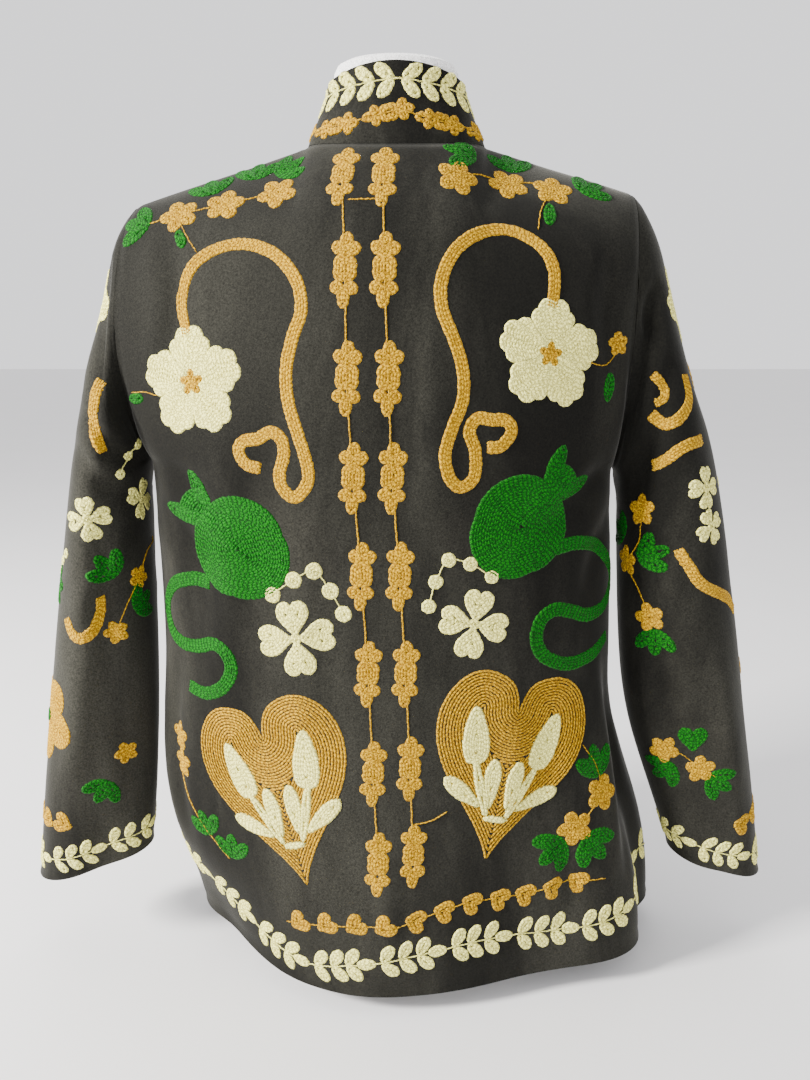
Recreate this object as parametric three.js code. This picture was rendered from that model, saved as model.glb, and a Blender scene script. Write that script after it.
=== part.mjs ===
// A velvet kimono jacket with a stand collar, worn open on a limbless dress form.
// Sizes are in millimetres. +Z is up, the wearer faces -Y and the wearer's left is +X.
import * as THREE from 'three';

const { lerp, clamp, smoothstep, degToRad, radToDeg } = THREE.MathUtils;

const cloth = {
  wall: 2,          // velvet backed by its embroidery
  seamGap: 0.3,     // between two cut pieces at a seam
};

const jacket = {
  hem: 24,          // height of the hem above the surface that the form stands on
  hemDip: 4,        // the hem's lowest point below that, left of the centre back
  hemDipBearing: 74,
  hemRise: 8,       // the hem's rise at the side seams
  frontGap: 26,     // between the two front edges at the neck
  frontSpread: 34,  // what that gap has grown by at the hem
  roundness: 2.3,   // exponent of the body's level sections
};

// Each armhole is an upright ellipse: x at its top and foot, half its height, and how far its
// middle bows outwards. Hand is +1 on the wearer's left.
const armhole = {
  height: 620,
  halfDepth: 50,
  left: { hand: 1, topX: 240, footX: 238, reach: 113, bow: 15 },
  right: { hand: -1, topX: 205, footX: 195, reach: 123, bow: 1 },
};

const neck = {
  x: 7.5,           // the neck sits a little to the wearer's left
  height: 782,      // at the inner ends of the shoulder seams
  halfWidth: 80.5,
  backDepth: 45,
  frontDepth: 64,
  backDrop: 6,
  frontDrop: 56,
  share: 0.37,      // of the body's half width
  slopeFlatness: 1.75,  // 1 rounds the shoulder over fully; 2 runs straight up to the neck
};

const collar = {
  lift: 0.4,        // clearance above the neck edge
  height: 64,
  topHalfWidth: 60,
  topBackDepth: 40,
  topFrontDepth: 52,
  bulge: -2,        // the band is slightly hollow between its edges
  sideDrop: 17,     // the top edge dips from the back to the sides
};

const grid = {
  skirtRows: 15,
  armholeStep: 15,  // degrees between rows round an armhole
  shoulderColumns: 9,
  backNeckColumns: 12,
  frontNeckColumns: 6,
  sleeveSteps: 24,
  collarRows: 4,
  formSides: 32,
  formSteps: 26,
};

// Level sections of the body below the armholes, as distances out from x = 0 and y = 0.
const bodySections = [
  { z: 16, left: 212, right: 259, back: 131, front: 130 },
  { z: 70, left: 221, right: 256, back: 128, front: 129 },
  { z: 130, left: 232, right: 245, back: 123, front: 127 },
  { z: 200, left: 240, right: 224, back: 118, front: 124 },
  { z: 270, left: 239, right: 207, back: 113, front: 121 },
  { z: 350, left: 237, right: 202, back: 109, front: 119 },
  { z: 430, left: 237, right: 199, back: 107, front: 118 },
  { z: 505, left: 238, right: 195, back: 107, front: 116 },
  { z: 560, left: 238, right: 195, back: 108, front: 113 },
  { z: 620, left: 238, right: 195, back: 104, front: 105 },
];

// Hanging folds of the body. Bearing and spread are in degrees round a level section, from the
// left side seam (0) over the centre back (90) to the right side seam (180) and the front (270).
// Depth is outwards, full from the hem up to z full, and gone at z gone.
const bodyFolds = [
  { name: 'left hem turned under', bearing: 27, spread: 17, depth: -25, full: 30, gone: 150 },
  { name: 'left hip roll', bearing: 14, spread: 13, depth: 5, full: 150, gone: 330 },
  { name: 'left back trough', bearing: 47, spread: 9, depth: -6, full: 90, gone: 430 },
  { name: 'centre back swell', bearing: 76, spread: 13, depth: 7, full: 60, gone: 360 },
  { name: 'right of centre trough', bearing: 116, spread: 14, depth: -13, full: 60, gone: 330 },
  { name: 'right back swell', bearing: 144, spread: 10, depth: 5, full: 80, gone: 390 },
  { name: 'right side fold', bearing: 164, spread: 8, depth: -17, full: 120, gone: 290 },
  { name: 'right front roll', bearing: 190, spread: 12, depth: 8, full: 100, gone: 330 },
  { name: 'right front trough', bearing: 218, spread: 12, depth: -11, full: 80, gone: 480 },
  { name: 'right front swell', bearing: 243, spread: 11, depth: 7, full: 90, gone: 440 },
  { name: 'left front swell', bearing: 299, spread: 11, depth: 7, full: 80, gone: 430 },
  { name: 'left front trough', bearing: 324, spread: 12, depth: -11, full: 90, gone: 490 },
  { name: 'left front roll', bearing: 346, spread: 10, depth: 5, full: 110, gone: 320 },
];

// Sleeve rings from the armhole to the cuff. The outer and inner points of each ring are given
// as distances out from x = 0 and heights; depth is half the ring's size along Y, and y its middle.
const leftSleeve = [
  { outX: 240, outZ: 733, inX: 238, inZ: 507, depth: 50, y: 0 },
  { outX: 255, outZ: 708, inX: 241, inZ: 504, depth: 54, y: 0 },
  { outX: 268, outZ: 675, inX: 243, inZ: 501, depth: 57, y: 0 },
  { outX: 280, outZ: 636, inX: 244, inZ: 497, depth: 59, y: 1 },
  { outX: 291, outZ: 594, inX: 245, inZ: 490, depth: 60, y: 2 },
  { outX: 302, outZ: 549, inX: 246, inZ: 478, depth: 60, y: 4 },
  { outX: 312, outZ: 502, inX: 246, inZ: 459, depth: 60, y: 6 },
  { outX: 321, outZ: 452, inX: 246, inZ: 427, depth: 59, y: 8 },
  { outX: 330, outZ: 402, inX: 246, inZ: 385, depth: 57, y: 10 },
  { outX: 339, outZ: 350, inX: 246, inZ: 339, depth: 54, y: 12 },
  { outX: 348, outZ: 297, inX: 247, inZ: 293, depth: 51, y: 14 },
  { outX: 356, outZ: 244, inX: 249, inZ: 247, depth: 48, y: 16 },
  { outX: 364, outZ: 191, inX: 252, inZ: 202, depth: 45, y: 18 },
  { outX: 372, outZ: 137, inX: 256, inZ: 157, depth: 42, y: 19 },
  { outX: 380, outZ: 80, inX: 262, inZ: 110, depth: 39, y: 20 },
];

const rightSleeve = [
  { outX: 205.2, outZ: 743, inX: 195.2, inZ: 497, depth: 50, y: 0 },
  { outX: 222, outZ: 716, inX: 199, inZ: 495, depth: 54, y: 0 },
  { outX: 236, outZ: 681, inX: 201, inZ: 492, depth: 57, y: 0 },
  { outX: 249, outZ: 641, inX: 203, inZ: 487, depth: 59, y: 1 },
  { outX: 263, outZ: 597, inX: 204, inZ: 479, depth: 60, y: 2 },
  { outX: 277, outZ: 551, inX: 205, inZ: 466, depth: 60, y: 4 },
  { outX: 290, outZ: 502, inX: 206, inZ: 446, depth: 60, y: 6 },
  { outX: 302, outZ: 451, inX: 207, inZ: 414, depth: 58, y: 8 },
  { outX: 313, outZ: 400, inX: 209, inZ: 373, depth: 56, y: 10 },
  { outX: 324, outZ: 347, inX: 212, inZ: 328, depth: 53, y: 12 },
  { outX: 334, outZ: 294, inX: 217, inZ: 283, depth: 50, y: 14 },
  { outX: 343, outZ: 241, inX: 227, inZ: 238, depth: 47, y: 15 },
  { outX: 352, outZ: 188, inX: 242, inZ: 194, depth: 44, y: 16 },
  { outX: 361, outZ: 135, inX: 258, inZ: 150, depth: 41, y: 17 },
  { outX: 369, outZ: 81, inX: 274, inZ: 104, depth: 38, y: 18 },
];

// Soft folds of a sleeve, each a straight line on the sleeve from one place to another. Turn is
// in degrees round the sleeve, 0 outside, 90 behind, 180 at the body; along runs from the armhole
// (0) to the cuff (1). Depth is outwards.
const leftSleeveFolds = [
  { name: 'seam roll behind', turnA: 128, alongA: 0.02, turnB: 100, alongB: 0.5, spread: 22, depth: 5 },
  { name: 'armpit drag', turnA: 148, alongA: 0.16, turnB: 78, alongB: 0.62, spread: 22, depth: -8 },
  { name: 'long back crease', turnA: 104, alongA: 0.5, turnB: 112, alongB: 1.0, spread: 21, depth: -8 },
  { name: 'cuff swell', turnA: 52, alongA: 0.6, turnB: 60, alongB: 1.0, spread: 24, depth: 4 },
  { name: 'front drag', turnA: 214, alongA: 0.14, turnB: 284, alongB: 0.6, spread: 22, depth: -8 },
  { name: 'front crease', turnA: 262, alongA: 0.46, turnB: 246, alongB: 1.0, spread: 22, depth: -7 },
];

const rightSleeveFolds = [
  { name: 'seam roll behind', turnA: 126, alongA: 0.02, turnB: 104, alongB: 0.46, spread: 22, depth: 4 },
  { name: 'armpit drag', turnA: 146, alongA: 0.14, turnB: 84, alongB: 0.56, spread: 22, depth: -8 },
  { name: 'long back crease', turnA: 112, alongA: 0.5, turnB: 92, alongB: 1.0, spread: 22, depth: -6 },
  { name: 'front drag', turnA: 216, alongA: 0.14, turnB: 286, alongB: 0.62, spread: 22, depth: -8 },
  { name: 'front crease', turnA: 258, alongA: 0.46, turnB: 250, alongB: 1.0, spread: 22, depth: -7 },
];

// Level sections of the dress form: half its width, how far it reaches behind and in front of
// y = 0, and the exponent of the outline, which is 2 for an ellipse and less along the shoulders.
const formSections = [
  { z: 0, halfWidth: 140, back: 92, front: 92, power: 2 },
  { z: 3, halfWidth: 144, back: 96, front: 96, power: 2 },
  { z: 70, halfWidth: 152, back: 100, front: 100, power: 2 },
  { z: 190, halfWidth: 160, back: 104, front: 101, power: 2 },
  { z: 280, halfWidth: 148, back: 94, front: 95, power: 2 },
  { z: 370, halfWidth: 119, back: 79, front: 85, power: 2 },
  { z: 450, halfWidth: 124, back: 78, front: 92, power: 2 },
  { z: 540, halfWidth: 142, back: 84, front: 102, power: 2 },
  { z: 610, halfWidth: 150, back: 84, front: 94, power: 2 },
  { z: 670, halfWidth: 160, back: 74, front: 78, power: 1.95 },
  { z: 715, halfWidth: 172, back: 58, front: 58, power: 1.7 },
  { z: 738, halfWidth: 174, back: 48, front: 46, power: 1.45 },
  { z: 748, halfWidth: 164, back: 44, front: 41, power: 1.35 },
  { z: 758, halfWidth: 141, back: 41, front: 37, power: 1.3 },
  { z: 768, halfWidth: 108, back: 36, front: 32, power: 1.3 },
  { z: 777, halfWidth: 76, back: 36, front: 31, power: 1.5 },
  { z: 788, halfWidth: 66, back: 37, front: 33, power: 1.9 },
  { z: 806, halfWidth: 58, back: 37, front: 36, power: 2 },
  { z: 832, halfWidth: 55, back: 36, front: 37, power: 2 },
  { z: 843, halfWidth: 53, back: 35, front: 36, power: 2 },
  { z: 848.5, halfWidth: 46, back: 29, front: 30, power: 2 },
  { z: 851, halfWidth: 34, back: 21, front: 22, power: 2 },
];
const formX = 7.5;

const velvet = new THREE.MeshStandardMaterial({ color: 0x3b3a37, roughness: 0.92, metalness: 0 });
const formShell = new THREE.MeshStandardMaterial({ color: 0xf1f0ec, roughness: 0.45, metalness: 0 });

// One column of a table at a place between its rows, as a smooth curve through them.
function columnAt(rows, by, key, place) {
  const last = rows.length - 1;
  let low = 0;
  while (low < last - 1 && rows[low + 1][by] < place) low += 1;
  const slope = (row) => {
    const before = rows[Math.max(row - 1, 0)];
    const after = rows[Math.min(row + 1, last)];
    return (after[key] - before[key]) / (after[by] - before[by]);
  };
  const span = rows[low + 1][by] - rows[low][by];
  const t = clamp((place - rows[low][by]) / span, 0, 1);
  const bend = t * t * (3 - 2 * t);
  return lerp(rows[low][key], rows[low + 1][key], bend)
    + span * (slope(low) * t * (1 - t) ** 2 - slope(low + 1) * t * t * (1 - t));
}

// A smooth bump of height 1 that is gone at a distance of two spreads.
function bump(distance, spread) {
  const share = clamp(Math.abs(distance) / (2 * spread), 0, 1);
  return (1 - share * share) ** 3;
}

function bodyFoldDepth(bearing, z) {
  return bodyFolds.reduce((sum, fold) => {
    const strength = 1 - smoothstep(z, fold.full, fold.gone);
    const distance = ((bearing - fold.bearing + 540) % 360) - 180;
    return sum + fold.depth * strength * bump(distance, fold.spread);
  }, 0);
}

function hemHeight(bearing) {
  const dip = jacket.hemDip * bump(bearing - jacket.hemDipBearing, 30);
  return jacket.hem - dip + jacket.hemRise * Math.cos(degToRad(bearing)) ** 4;
}

// How far the body reaches out on one side: its table below the armhole, and the armhole's own
// slant above the foot of it.
function sideReach(arm, z) {
  const foot = armhole.height - arm.reach;
  if (z <= foot) return columnAt(bodySections, 'z', arm.hand > 0 ? 'left' : 'right', z);
  return lerp(arm.footX, arm.topX, (z - foot) / (2 * arm.reach));
}

// Half the body's width at a height, and the x of its middle.
function bodyWidth(z) {
  const left = sideReach(armhole.left, z);
  const half = (left + sideReach(armhole.right, z)) / 2;
  return { half, middle: left - half };
}

// A point of the body below the shoulders. Across runs from +1 at the left side seam to -1 at the
// right one; side is +1 behind and -1 in front; seamY is the armhole edge's distance from y = 0.
function bodyPoint(across, side, z, seamY, bow) {
  const { half, middle } = bodyWidth(z);
  const depth = columnAt(bodySections, 'z', side > 0 ? 'back' : 'front', z);
  const power = jacket.roundness;
  const round = Math.max(1 - Math.abs(across) ** power, 0) ** (1 / power);
  const bearing = (radToDeg(Math.atan2(side * round, across)) + 360) % 360;
  const outward = new THREE.Vector3(
    Math.sign(across) * Math.abs(across) ** (power - 1) / half,
    side * round ** (power - 1) / depth,
    0,
  ).normalize();
  const point = new THREE.Vector3(
    middle + half * across + bow * Math.sign(across) * across ** 4,
    side * (cloth.seamGap / 2 + depth * round + seamY * (1 - round) ** 2),
    z,
  );
  return point.addScaledVector(outward, bodyFoldDepth(bearing, z));
}

// The top edge of a body piece, from an armhole's top over the shoulder to the neck and round it.
function topEdgePoint(column, side) {
  if (column.neckTurn === undefined) {
    const arm = column.hand > 0 ? armhole.left : armhole.right;
    const share = (1 - Math.abs(column.across)) / (1 - neck.share);
    return new THREE.Vector3(
      lerp(arm.hand * arm.topX, neck.x + arm.hand * neck.halfWidth, share),
      side * cloth.seamGap / 2,
      lerp(armhole.height + arm.reach, neck.height, share),
    );
  }
  const turn = degToRad(column.neckTurn);
  const depth = side > 0 ? neck.backDepth : neck.frontDepth;
  const drop = side > 0 ? neck.backDrop : neck.frontDrop;
  return new THREE.Vector3(
    neck.x + neck.halfWidth * Math.cos(turn),
    side * (cloth.seamGap / 2 + depth * Math.sin(turn)),
    neck.height - drop * Math.sin(turn) ** 2,
  );
}

// Half the opening between the front edges at a height, as a share of the body's half width.
function frontEdgeAcross(hand, z) {
  const { half, middle } = bodyWidth(z);
  const opening = jacket.frontGap + jacket.frontSpread * (1 - clamp(z / neck.height, 0, 1));
  return (neck.x + hand * opening / 2 - middle) / half;
}

// Columns over one shoulder, from the side seam and armhole to the neck.
function shoulderColumns(hand) {
  const power = jacket.roundness;
  const rim = (1 - neck.share ** power) ** (1 / power);
  const neckTurn = Math.atan2(rim, neck.share);
  return Array.from({ length: grid.shoulderColumns }, (unused, index) => {
    const turn = neckTurn * index / grid.shoulderColumns;
    const size = (Math.cos(turn) ** power + Math.sin(turn) ** power) ** (1 / power);
    return { hand, across: hand * Math.cos(turn) / size, edge: index === 0 ? 'side' : 'none' };
  });
}

function backColumns() {
  const neckColumns = Array.from({ length: grid.backNeckColumns + 1 }, (unused, index) => {
    const share = index / grid.backNeckColumns;
    return { across: lerp(neck.share, -neck.share, share), neckTurn: 180 * share, edge: 'none' };
  });
  return [...shoulderColumns(1), ...neckColumns, ...shoulderColumns(-1).reverse()];
}

function frontColumns(hand) {
  const edgeTurn = radToDeg(Math.acos(jacket.frontGap / 2 / neck.halfWidth));
  const neckColumns = Array.from({ length: grid.frontNeckColumns + 1 }, (unused, index) => {
    const share = index / grid.frontNeckColumns;
    const turn = edgeTurn * share;
    return { hand, frontShare: share, neckTurn: hand > 0 ? turn : 180 - turn, edge: 'none' };
  });
  return [...shoulderColumns(hand), ...neckColumns];
}

function acrossAt(column, z) {
  if (column.frontShare === undefined) return column.across;
  return lerp(column.hand * neck.share, frontEdgeAcross(column.hand, z), column.frontShare);
}

// One column of points from the hem to the top edge: the skirt below the armhole, the lower half
// of the armhole, and the shoulder, which rounds over to its seam.
function columnPoints(column, side) {
  const points = [];
  const guess = acrossAt(column, armhole.height);
  const reach = lerp(armhole.right.reach, armhole.left.reach, (guess + 1) / 2);
  const bow = guess > 0 ? armhole.left.bow : armhole.right.bow;
  for (let row = 0; row < grid.skirtRows; row += 1) {
    const across = acrossAt(column, jacket.hem);
    const round = Math.sqrt(Math.max(1 - across * across, 0));
    const bearing = (radToDeg(Math.atan2(side * round, across)) + 360) % 360;
    const z = lerp(hemHeight(bearing), armhole.height - reach, row / grid.skirtRows);
    points.push(bodyPoint(acrossAt(column, z), side, z, 0, 0));
  }
  for (let turn = 0; turn <= 90; turn += grid.armholeStep) {
    const z = armhole.height - reach * Math.cos(degToRad(turn));
    const out = Math.sin(degToRad(turn));
    points.push(bodyPoint(acrossAt(column, z), side, z, armhole.halfDepth * out, bow * out * out));
  }
  const base = bodyPoint(acrossAt(column, armhole.height), side, armhole.height, armhole.halfDepth, 0);
  const top = topEdgePoint(column, side);
  const toNeck = smoothstep(1 - Math.abs(guess), 0, 1 - neck.share);
  const flatness = lerp(1, neck.slopeFlatness, toNeck);
  for (let turn = grid.armholeStep; turn <= 90; turn += grid.armholeStep) {
    const rise = Math.sin(degToRad(turn));
    const run = Math.cos(degToRad(turn));
    const bowed = bow * run * run * Math.sign(guess) * guess ** 4;
    points.push(new THREE.Vector3(
      lerp(base.x, top.x, rise) + bowed,
      lerp(top.y, base.y, run ** flatness),
      lerp(armhole.height, top.z, rise),
    ));
  }
  return points;
}

// Unit normals of a grid of points by central differences; the first index wraps when round.
function gridNormals(points, round, flip) {
  const columns = points.length;
  return points.map((column, i) => column.map((unused, j) => {
    const before = round ? (i + columns - 1) % columns : Math.max(i - 1, 0);
    const after = round ? (i + 1) % columns : Math.min(i + 1, columns - 1);
    const along = points[after][j].clone().sub(points[before][j]);
    const up = column[Math.min(j + 1, column.length - 1)].clone().sub(column[Math.max(j - 1, 0)]);
    return along.cross(up).normalize().multiplyScalar(flip ? -1 : 1);
  }));
}

function offsetGrid(points, normals, distance) {
  return points.map((column, i) => column.map((point, j) => (
    point.clone().addScaledVector(normals[i][j], distance))));
}

// A closed wall between an outer and an inner grid of points, with a rim along every open edge.
function wallGeometry(outer, inner, round) {
  const columns = outer.length;
  const rows = outer[0].length;
  const position = [...outer.flat(), ...inner.flat()].flatMap((point) => point.toArray());
  const index = [];
  const at = (layer, i, j) => layer * columns * rows + (i % columns) * rows + j;
  const quad = (a, b, c, d) => index.push(a, b, c, a, c, d);
  const spans = round ? columns : columns - 1;
  for (let i = 0; i < spans; i += 1) {
    for (let j = 0; j < rows - 1; j += 1) {
      quad(at(0, i, j), at(0, i + 1, j), at(0, i + 1, j + 1), at(0, i, j + 1));
      quad(at(1, i, j), at(1, i, j + 1), at(1, i + 1, j + 1), at(1, i + 1, j));
    }
    quad(at(0, i, 0), at(1, i, 0), at(1, i + 1, 0), at(0, i + 1, 0));
    quad(at(0, i, rows - 1), at(0, i + 1, rows - 1), at(1, i + 1, rows - 1), at(1, i, rows - 1));
  }
  for (let j = 0; !round && j < rows - 1; j += 1) {
    quad(at(0, 0, j), at(0, 0, j + 1), at(1, 0, j + 1), at(1, 0, j));
    const end = columns - 1;
    quad(at(0, end, j), at(1, end, j), at(1, end, j + 1), at(0, end, j + 1));
  }
  return solidGeometry(position, index);
}

function solidGeometry(position, index) {
  const corner = (place) => new THREE.Vector3().fromArray(position, index[place] * 3);
  let volume = 0;
  for (let face = 0; face < index.length; face += 3) {
    volume += corner(face).dot(corner(face + 1).cross(corner(face + 2))) / 6;
  }
  const facesOut = [];
  for (let face = 0; face < index.length; face += 3) {
    const [a, b, c] = index.slice(face, face + 3);
    facesOut.push(...(volume > 0 ? [a, b, c] : [a, c, b]));
  }
  const geometry = new THREE.BufferGeometry();
  geometry.setAttribute('position', new THREE.Float32BufferAttribute(position, 3));
  geometry.setIndex(facesOut);
  geometry.computeVertexNormals();
  return geometry;
}

function namedMesh(name, geometry, material) {
  const mesh = new THREE.Mesh(geometry, material);
  mesh.name = name;
  return mesh;
}

// A body piece. Along its seams the wall is cut square, so that neighbours stay a seam gap apart.
function bodyPiece(name, columns, side) {
  const outer = columns.map((column) => columnPoints(column, side));
  const middle = outer[Math.floor(columns.length / 2)];
  const trial = gridNormals(outer, false, false);
  const flip = trial[Math.floor(columns.length / 2)][Math.floor(middle.length / 2)].y * side < 0;
  const normals = gridNormals(outer, false, flip);
  columns.forEach((column, i) => {
    const topRow = normals[i].length - 1;
    const onSeam = column.neckTurn === undefined || column.neckTurn % 180 === 0;
    if (onSeam) normals[i][topRow].setY(0).normalize();
    if (column.edge !== 'side') return;
    normals[i].forEach((normal, j) => {
      if (j <= grid.skirtRows) normal.set(column.hand, 0, 0);
      else if (normal.x * column.hand < 0) normal.setX(0).normalize();
    });
  });
  const inner = offsetGrid(outer, normals, -cloth.wall);
  return namedMesh(name, wallGeometry(outer, inner, false), velvet);
}

function sleeveFoldDepth(folds, turn, along) {
  return folds.reduce((sum, fold) => {
    const share = (along - fold.alongA) / (fold.alongB - fold.alongA);
    if (share <= 0 || share > 1) return sum;
    const fade = Math.sin(Math.PI * share * (fold.alongB < 1 ? 1 : 0.5));
    return sum + fold.depth * fade * bump(turn - lerp(fold.turnA, fold.turnB, share), fold.spread);
  }, 0);
}

// A sleeve: rings from the armhole, 0.3 mm off the body, to the open cuff.
function sleevePiece(name, arm, rings, folds) {
  const rows = rings.map((ring, step) => ({ ...ring, step }));
  const sides = 360 / grid.armholeStep;
  const last = rows.length - 1;
  const outer = Array.from({ length: sides }, (unused, i) => (
    Array.from({ length: grid.sleeveSteps + 1 }, (unusedStep, j) => {
      const along = j / grid.sleeveSteps;
      const value = (key) => columnAt(rows, 'step', key, along * last);
      const turn = i * grid.armholeStep;
      const [out, back] = [Math.cos(degToRad(turn)), Math.sin(degToRad(turn))];
      const halfX = (value('outX') - value('inX')) / 2;
      const halfZ = (value('outZ') - value('inZ')) / 2;
      const radial = new THREE.Vector3(halfX * out, value('depth') * back, halfZ * out);
      const fold = sleeveFoldDepth(folds, turn, along);
      const bow = arm.bow * back * back * (1 - smoothstep(along, 0, 0.3));
      const point = new THREE.Vector3(
        value('inX') + halfX + cloth.seamGap + bow,
        value('y'),
        value('inZ') + halfZ,
      );
      point.add(radial).addScaledVector(radial.clone().normalize(), fold);
      return point.setX(point.x * arm.hand);
    })));
  const trial = gridNormals(outer, true, false);
  const flip = trial[0][grid.sleeveSteps].x * arm.hand < 0;
  const normals = gridNormals(outer, true, flip);
  normals.forEach((column) => column[0].setX(0).normalize());
  const inner = offsetGrid(outer, normals, -cloth.wall);
  return namedMesh(name, wallGeometry(outer, inner, true), velvet);
}

// The stand collar: a band that leans in from the neck seam, open at the centre front.
function collarPiece() {
  const seat = [
    ...frontColumns(1).slice(grid.shoulderColumns + 1).reverse().map((column) => [column, -1]),
    ...backColumns().slice(grid.shoulderColumns, -grid.shoulderColumns).map((column) => [column, 1]),
    ...frontColumns(-1).slice(grid.shoulderColumns + 1).map((column) => [column, -1]),
  ];
  const outer = seat.map(([column, side]) => {
    const foot = topEdgePoint(column, side);
    foot.z += collar.lift;
    const turn = degToRad(column.neckTurn);
    const depth = side > 0 ? collar.topBackDepth : collar.topFrontDepth;
    const top = new THREE.Vector3(
      neck.x + collar.topHalfWidth * Math.cos(turn),
      side * depth * Math.sin(turn),
      foot.z + collar.height - collar.sideDrop * Math.cos(turn) ** 2,
    );
    const out = new THREE.Vector3(Math.cos(turn), side * Math.sin(turn), 0);
    return Array.from({ length: grid.collarRows + 1 }, (unused, row) => {
      const share = row / grid.collarRows;
      const swell = collar.bulge * Math.sin(Math.PI * share);
      return foot.clone().lerp(top, share).addScaledVector(out, swell);
    });
  });
  const trial = gridNormals(outer, false, false);
  const flip = trial[0][0].x < 0;
  const normals = gridNormals(outer, false, flip);
  normals.forEach((column) => column[0].setZ(0).normalize());
  const inner = offsetGrid(outer, normals, -cloth.wall);
  return namedMesh('collar', wallGeometry(outer, inner, false), velvet);
}

// The dress form: one smooth limbless torso from a flat base to the cap of its neck.
function dressForm() {
  const rows = formSections.map((section, step) => ({ ...section, step }));
  const last = rows.length - 1;
  const position = [];
  for (let j = 0; j <= grid.formSteps; j += 1) {
    const value = (key) => columnAt(rows, 'step', key, last * j / grid.formSteps);
    for (let i = 0; i < grid.formSides; i += 1) {
      const turn = 2 * Math.PI * i / grid.formSides;
      const spread = (size) => Math.sign(size) * Math.abs(size) ** (2 / value('power'));
      position.push(
        formX + value('halfWidth') * spread(Math.cos(turn)),
        value(turn < Math.PI ? 'back' : 'front') * spread(Math.sin(turn)),
        value('z'),
      );
    }
  }
  const capStart = position.length / 3;
  position.push(formX, 0, rows[0].z, formX, 0, rows[last].z);
  const index = [];
  for (let i = 0; i < grid.formSides; i += 1) {
    const next = (i + 1) % grid.formSides;
    for (let j = 0; j < grid.formSteps; j += 1) {
      const low = j * grid.formSides;
      const high = low + grid.formSides;
      index.push(low + i, low + next, high + next, low + i, high + next, high + i);
    }
    const topRing = grid.formSteps * grid.formSides;
    index.push(capStart, next, i, capStart + 1, topRing + i, topRing + next);
  }
  return namedMesh('dress_form', solidGeometry(position, index), formShell);
}

const part = new THREE.Group();
part.add(
  bodyPiece('back', backColumns(), 1),
  bodyPiece('front_left', frontColumns(1), -1),
  bodyPiece('front_right', frontColumns(-1), -1),
  sleevePiece('sleeve_left', armhole.left, leftSleeve, leftSleeveFolds),
  sleevePiece('sleeve_right', armhole.right, rightSleeve, rightSleeveFolds),
  collarPiece(),
  dressForm(),
);

// The origin is on the ground under the middle of the whole.
const bounds = new THREE.Box3().setFromObject(part);
const centre = bounds.getCenter(new THREE.Vector3());
part.position.set(-centre.x, -centre.y, 0);

export default part;
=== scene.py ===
"""Velvet kimono jacket with chain-stitch embroidery, on a limbless dress form.

model.glb gives the garment pieces. Each one gets a soft velvet shell on its own form, and
rows of raised gold, cream and green chain stitch are laid on the shells.
"""

import math

import bmesh
import bpy
import numpy as np
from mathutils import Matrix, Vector
from mathutils.bvhtree import BVHTree
from mathutils.kdtree import KDTree


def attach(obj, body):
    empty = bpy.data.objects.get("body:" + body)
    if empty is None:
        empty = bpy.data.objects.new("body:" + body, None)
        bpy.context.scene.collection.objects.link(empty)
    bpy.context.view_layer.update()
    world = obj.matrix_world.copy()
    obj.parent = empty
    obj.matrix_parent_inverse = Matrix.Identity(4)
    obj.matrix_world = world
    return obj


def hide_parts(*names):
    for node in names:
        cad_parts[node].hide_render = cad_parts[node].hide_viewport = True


bl_info = {
    "name": "Embroidered Velvet Jacket",
    "version": (1, 0, 0),
    "blender": (4, 5, 0),
    "location": "3D View > Sidebar > Jacket",
    "description": "A velvet kimono jacket with chain-stitch embroidery on a dress form",
    "category": "Object",
}

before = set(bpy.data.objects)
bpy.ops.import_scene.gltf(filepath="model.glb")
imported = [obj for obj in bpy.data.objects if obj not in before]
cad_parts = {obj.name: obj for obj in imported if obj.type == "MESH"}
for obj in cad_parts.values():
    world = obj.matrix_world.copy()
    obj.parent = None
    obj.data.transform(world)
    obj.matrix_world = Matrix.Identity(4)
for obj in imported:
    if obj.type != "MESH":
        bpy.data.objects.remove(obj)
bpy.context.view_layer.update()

MM = 0.001
UP = np.array((0.0, 0.0, 1.0))

# Cloth, in metres.
SEAM_REACH = 0.0025  # edges nearer than this are sewn together
SEAM_SLACK = 0.0004  # how far a seam may open
SEAM_CALM = 1.3  # how far creases keep from a seam, in seam widths
HEM_RISE = 0.0006
HEM_DIP = 0.0005
ARMHOLE_LEVEL = 0.62
ARMHOLE_REACH = 0.06
RIDGE_SHARE = 0.45  # height of the ridge beside a crease, against the crease's depth
RIDGE_PLACE = 1.7  # how far beside the crease it runs, in half widths

# Thread: widths in metres of the single threads that stems and borders use.
FINE = 0.0014
THIN = 0.0016
MEDIUM = 0.0018
STRONG = 0.0020

# Looks.
PAINTED_HIGHLIGHT_PLACE = (0.145, 0.11, 0.655)  # middle of a painted highlight: the pile is painted lighter round here
PAINTED_LINK_SHADES = {  # painted shade between a thread's links: how much its colour is darkened there, in red, green and blue
    "gold": (0.44, 0.36, 0.28),
    "cream": (0.52, 0.50, 0.44),
    "green": (0.22, 0.30, 0.30),
}

# Drawings, in mm.
FRONT_CENTRE = 2  # where the two front edges meet
ROW = 2.4
WIDE_ROW = 2.8
PETALS = 5
LOOP_BREAK = 5.5  # a longer step between neighbours parts a row into two loops

# Each garment piece: its cut (width, length) and area in metres, and how it is held.
CUTS = {
    "back": ((0.65, 0.76), 0.403, "hung"),
    "front_left": ((0.31, 0.76), 0.190, "hung"),
    "front_right": ((0.31, 0.76), 0.182, "hung"),
    "sleeve_left": ((0.31, 0.665), 0.156, "hung"),
    "sleeve_right": ((0.33, 0.665), 0.170, "hung"),
    "collar": ((0.36, 0.066), 0.020, "folded"),
}
BODY = ("back", "front_left", "front_right")
THREADS = ("gold", "cream", "green")

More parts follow.
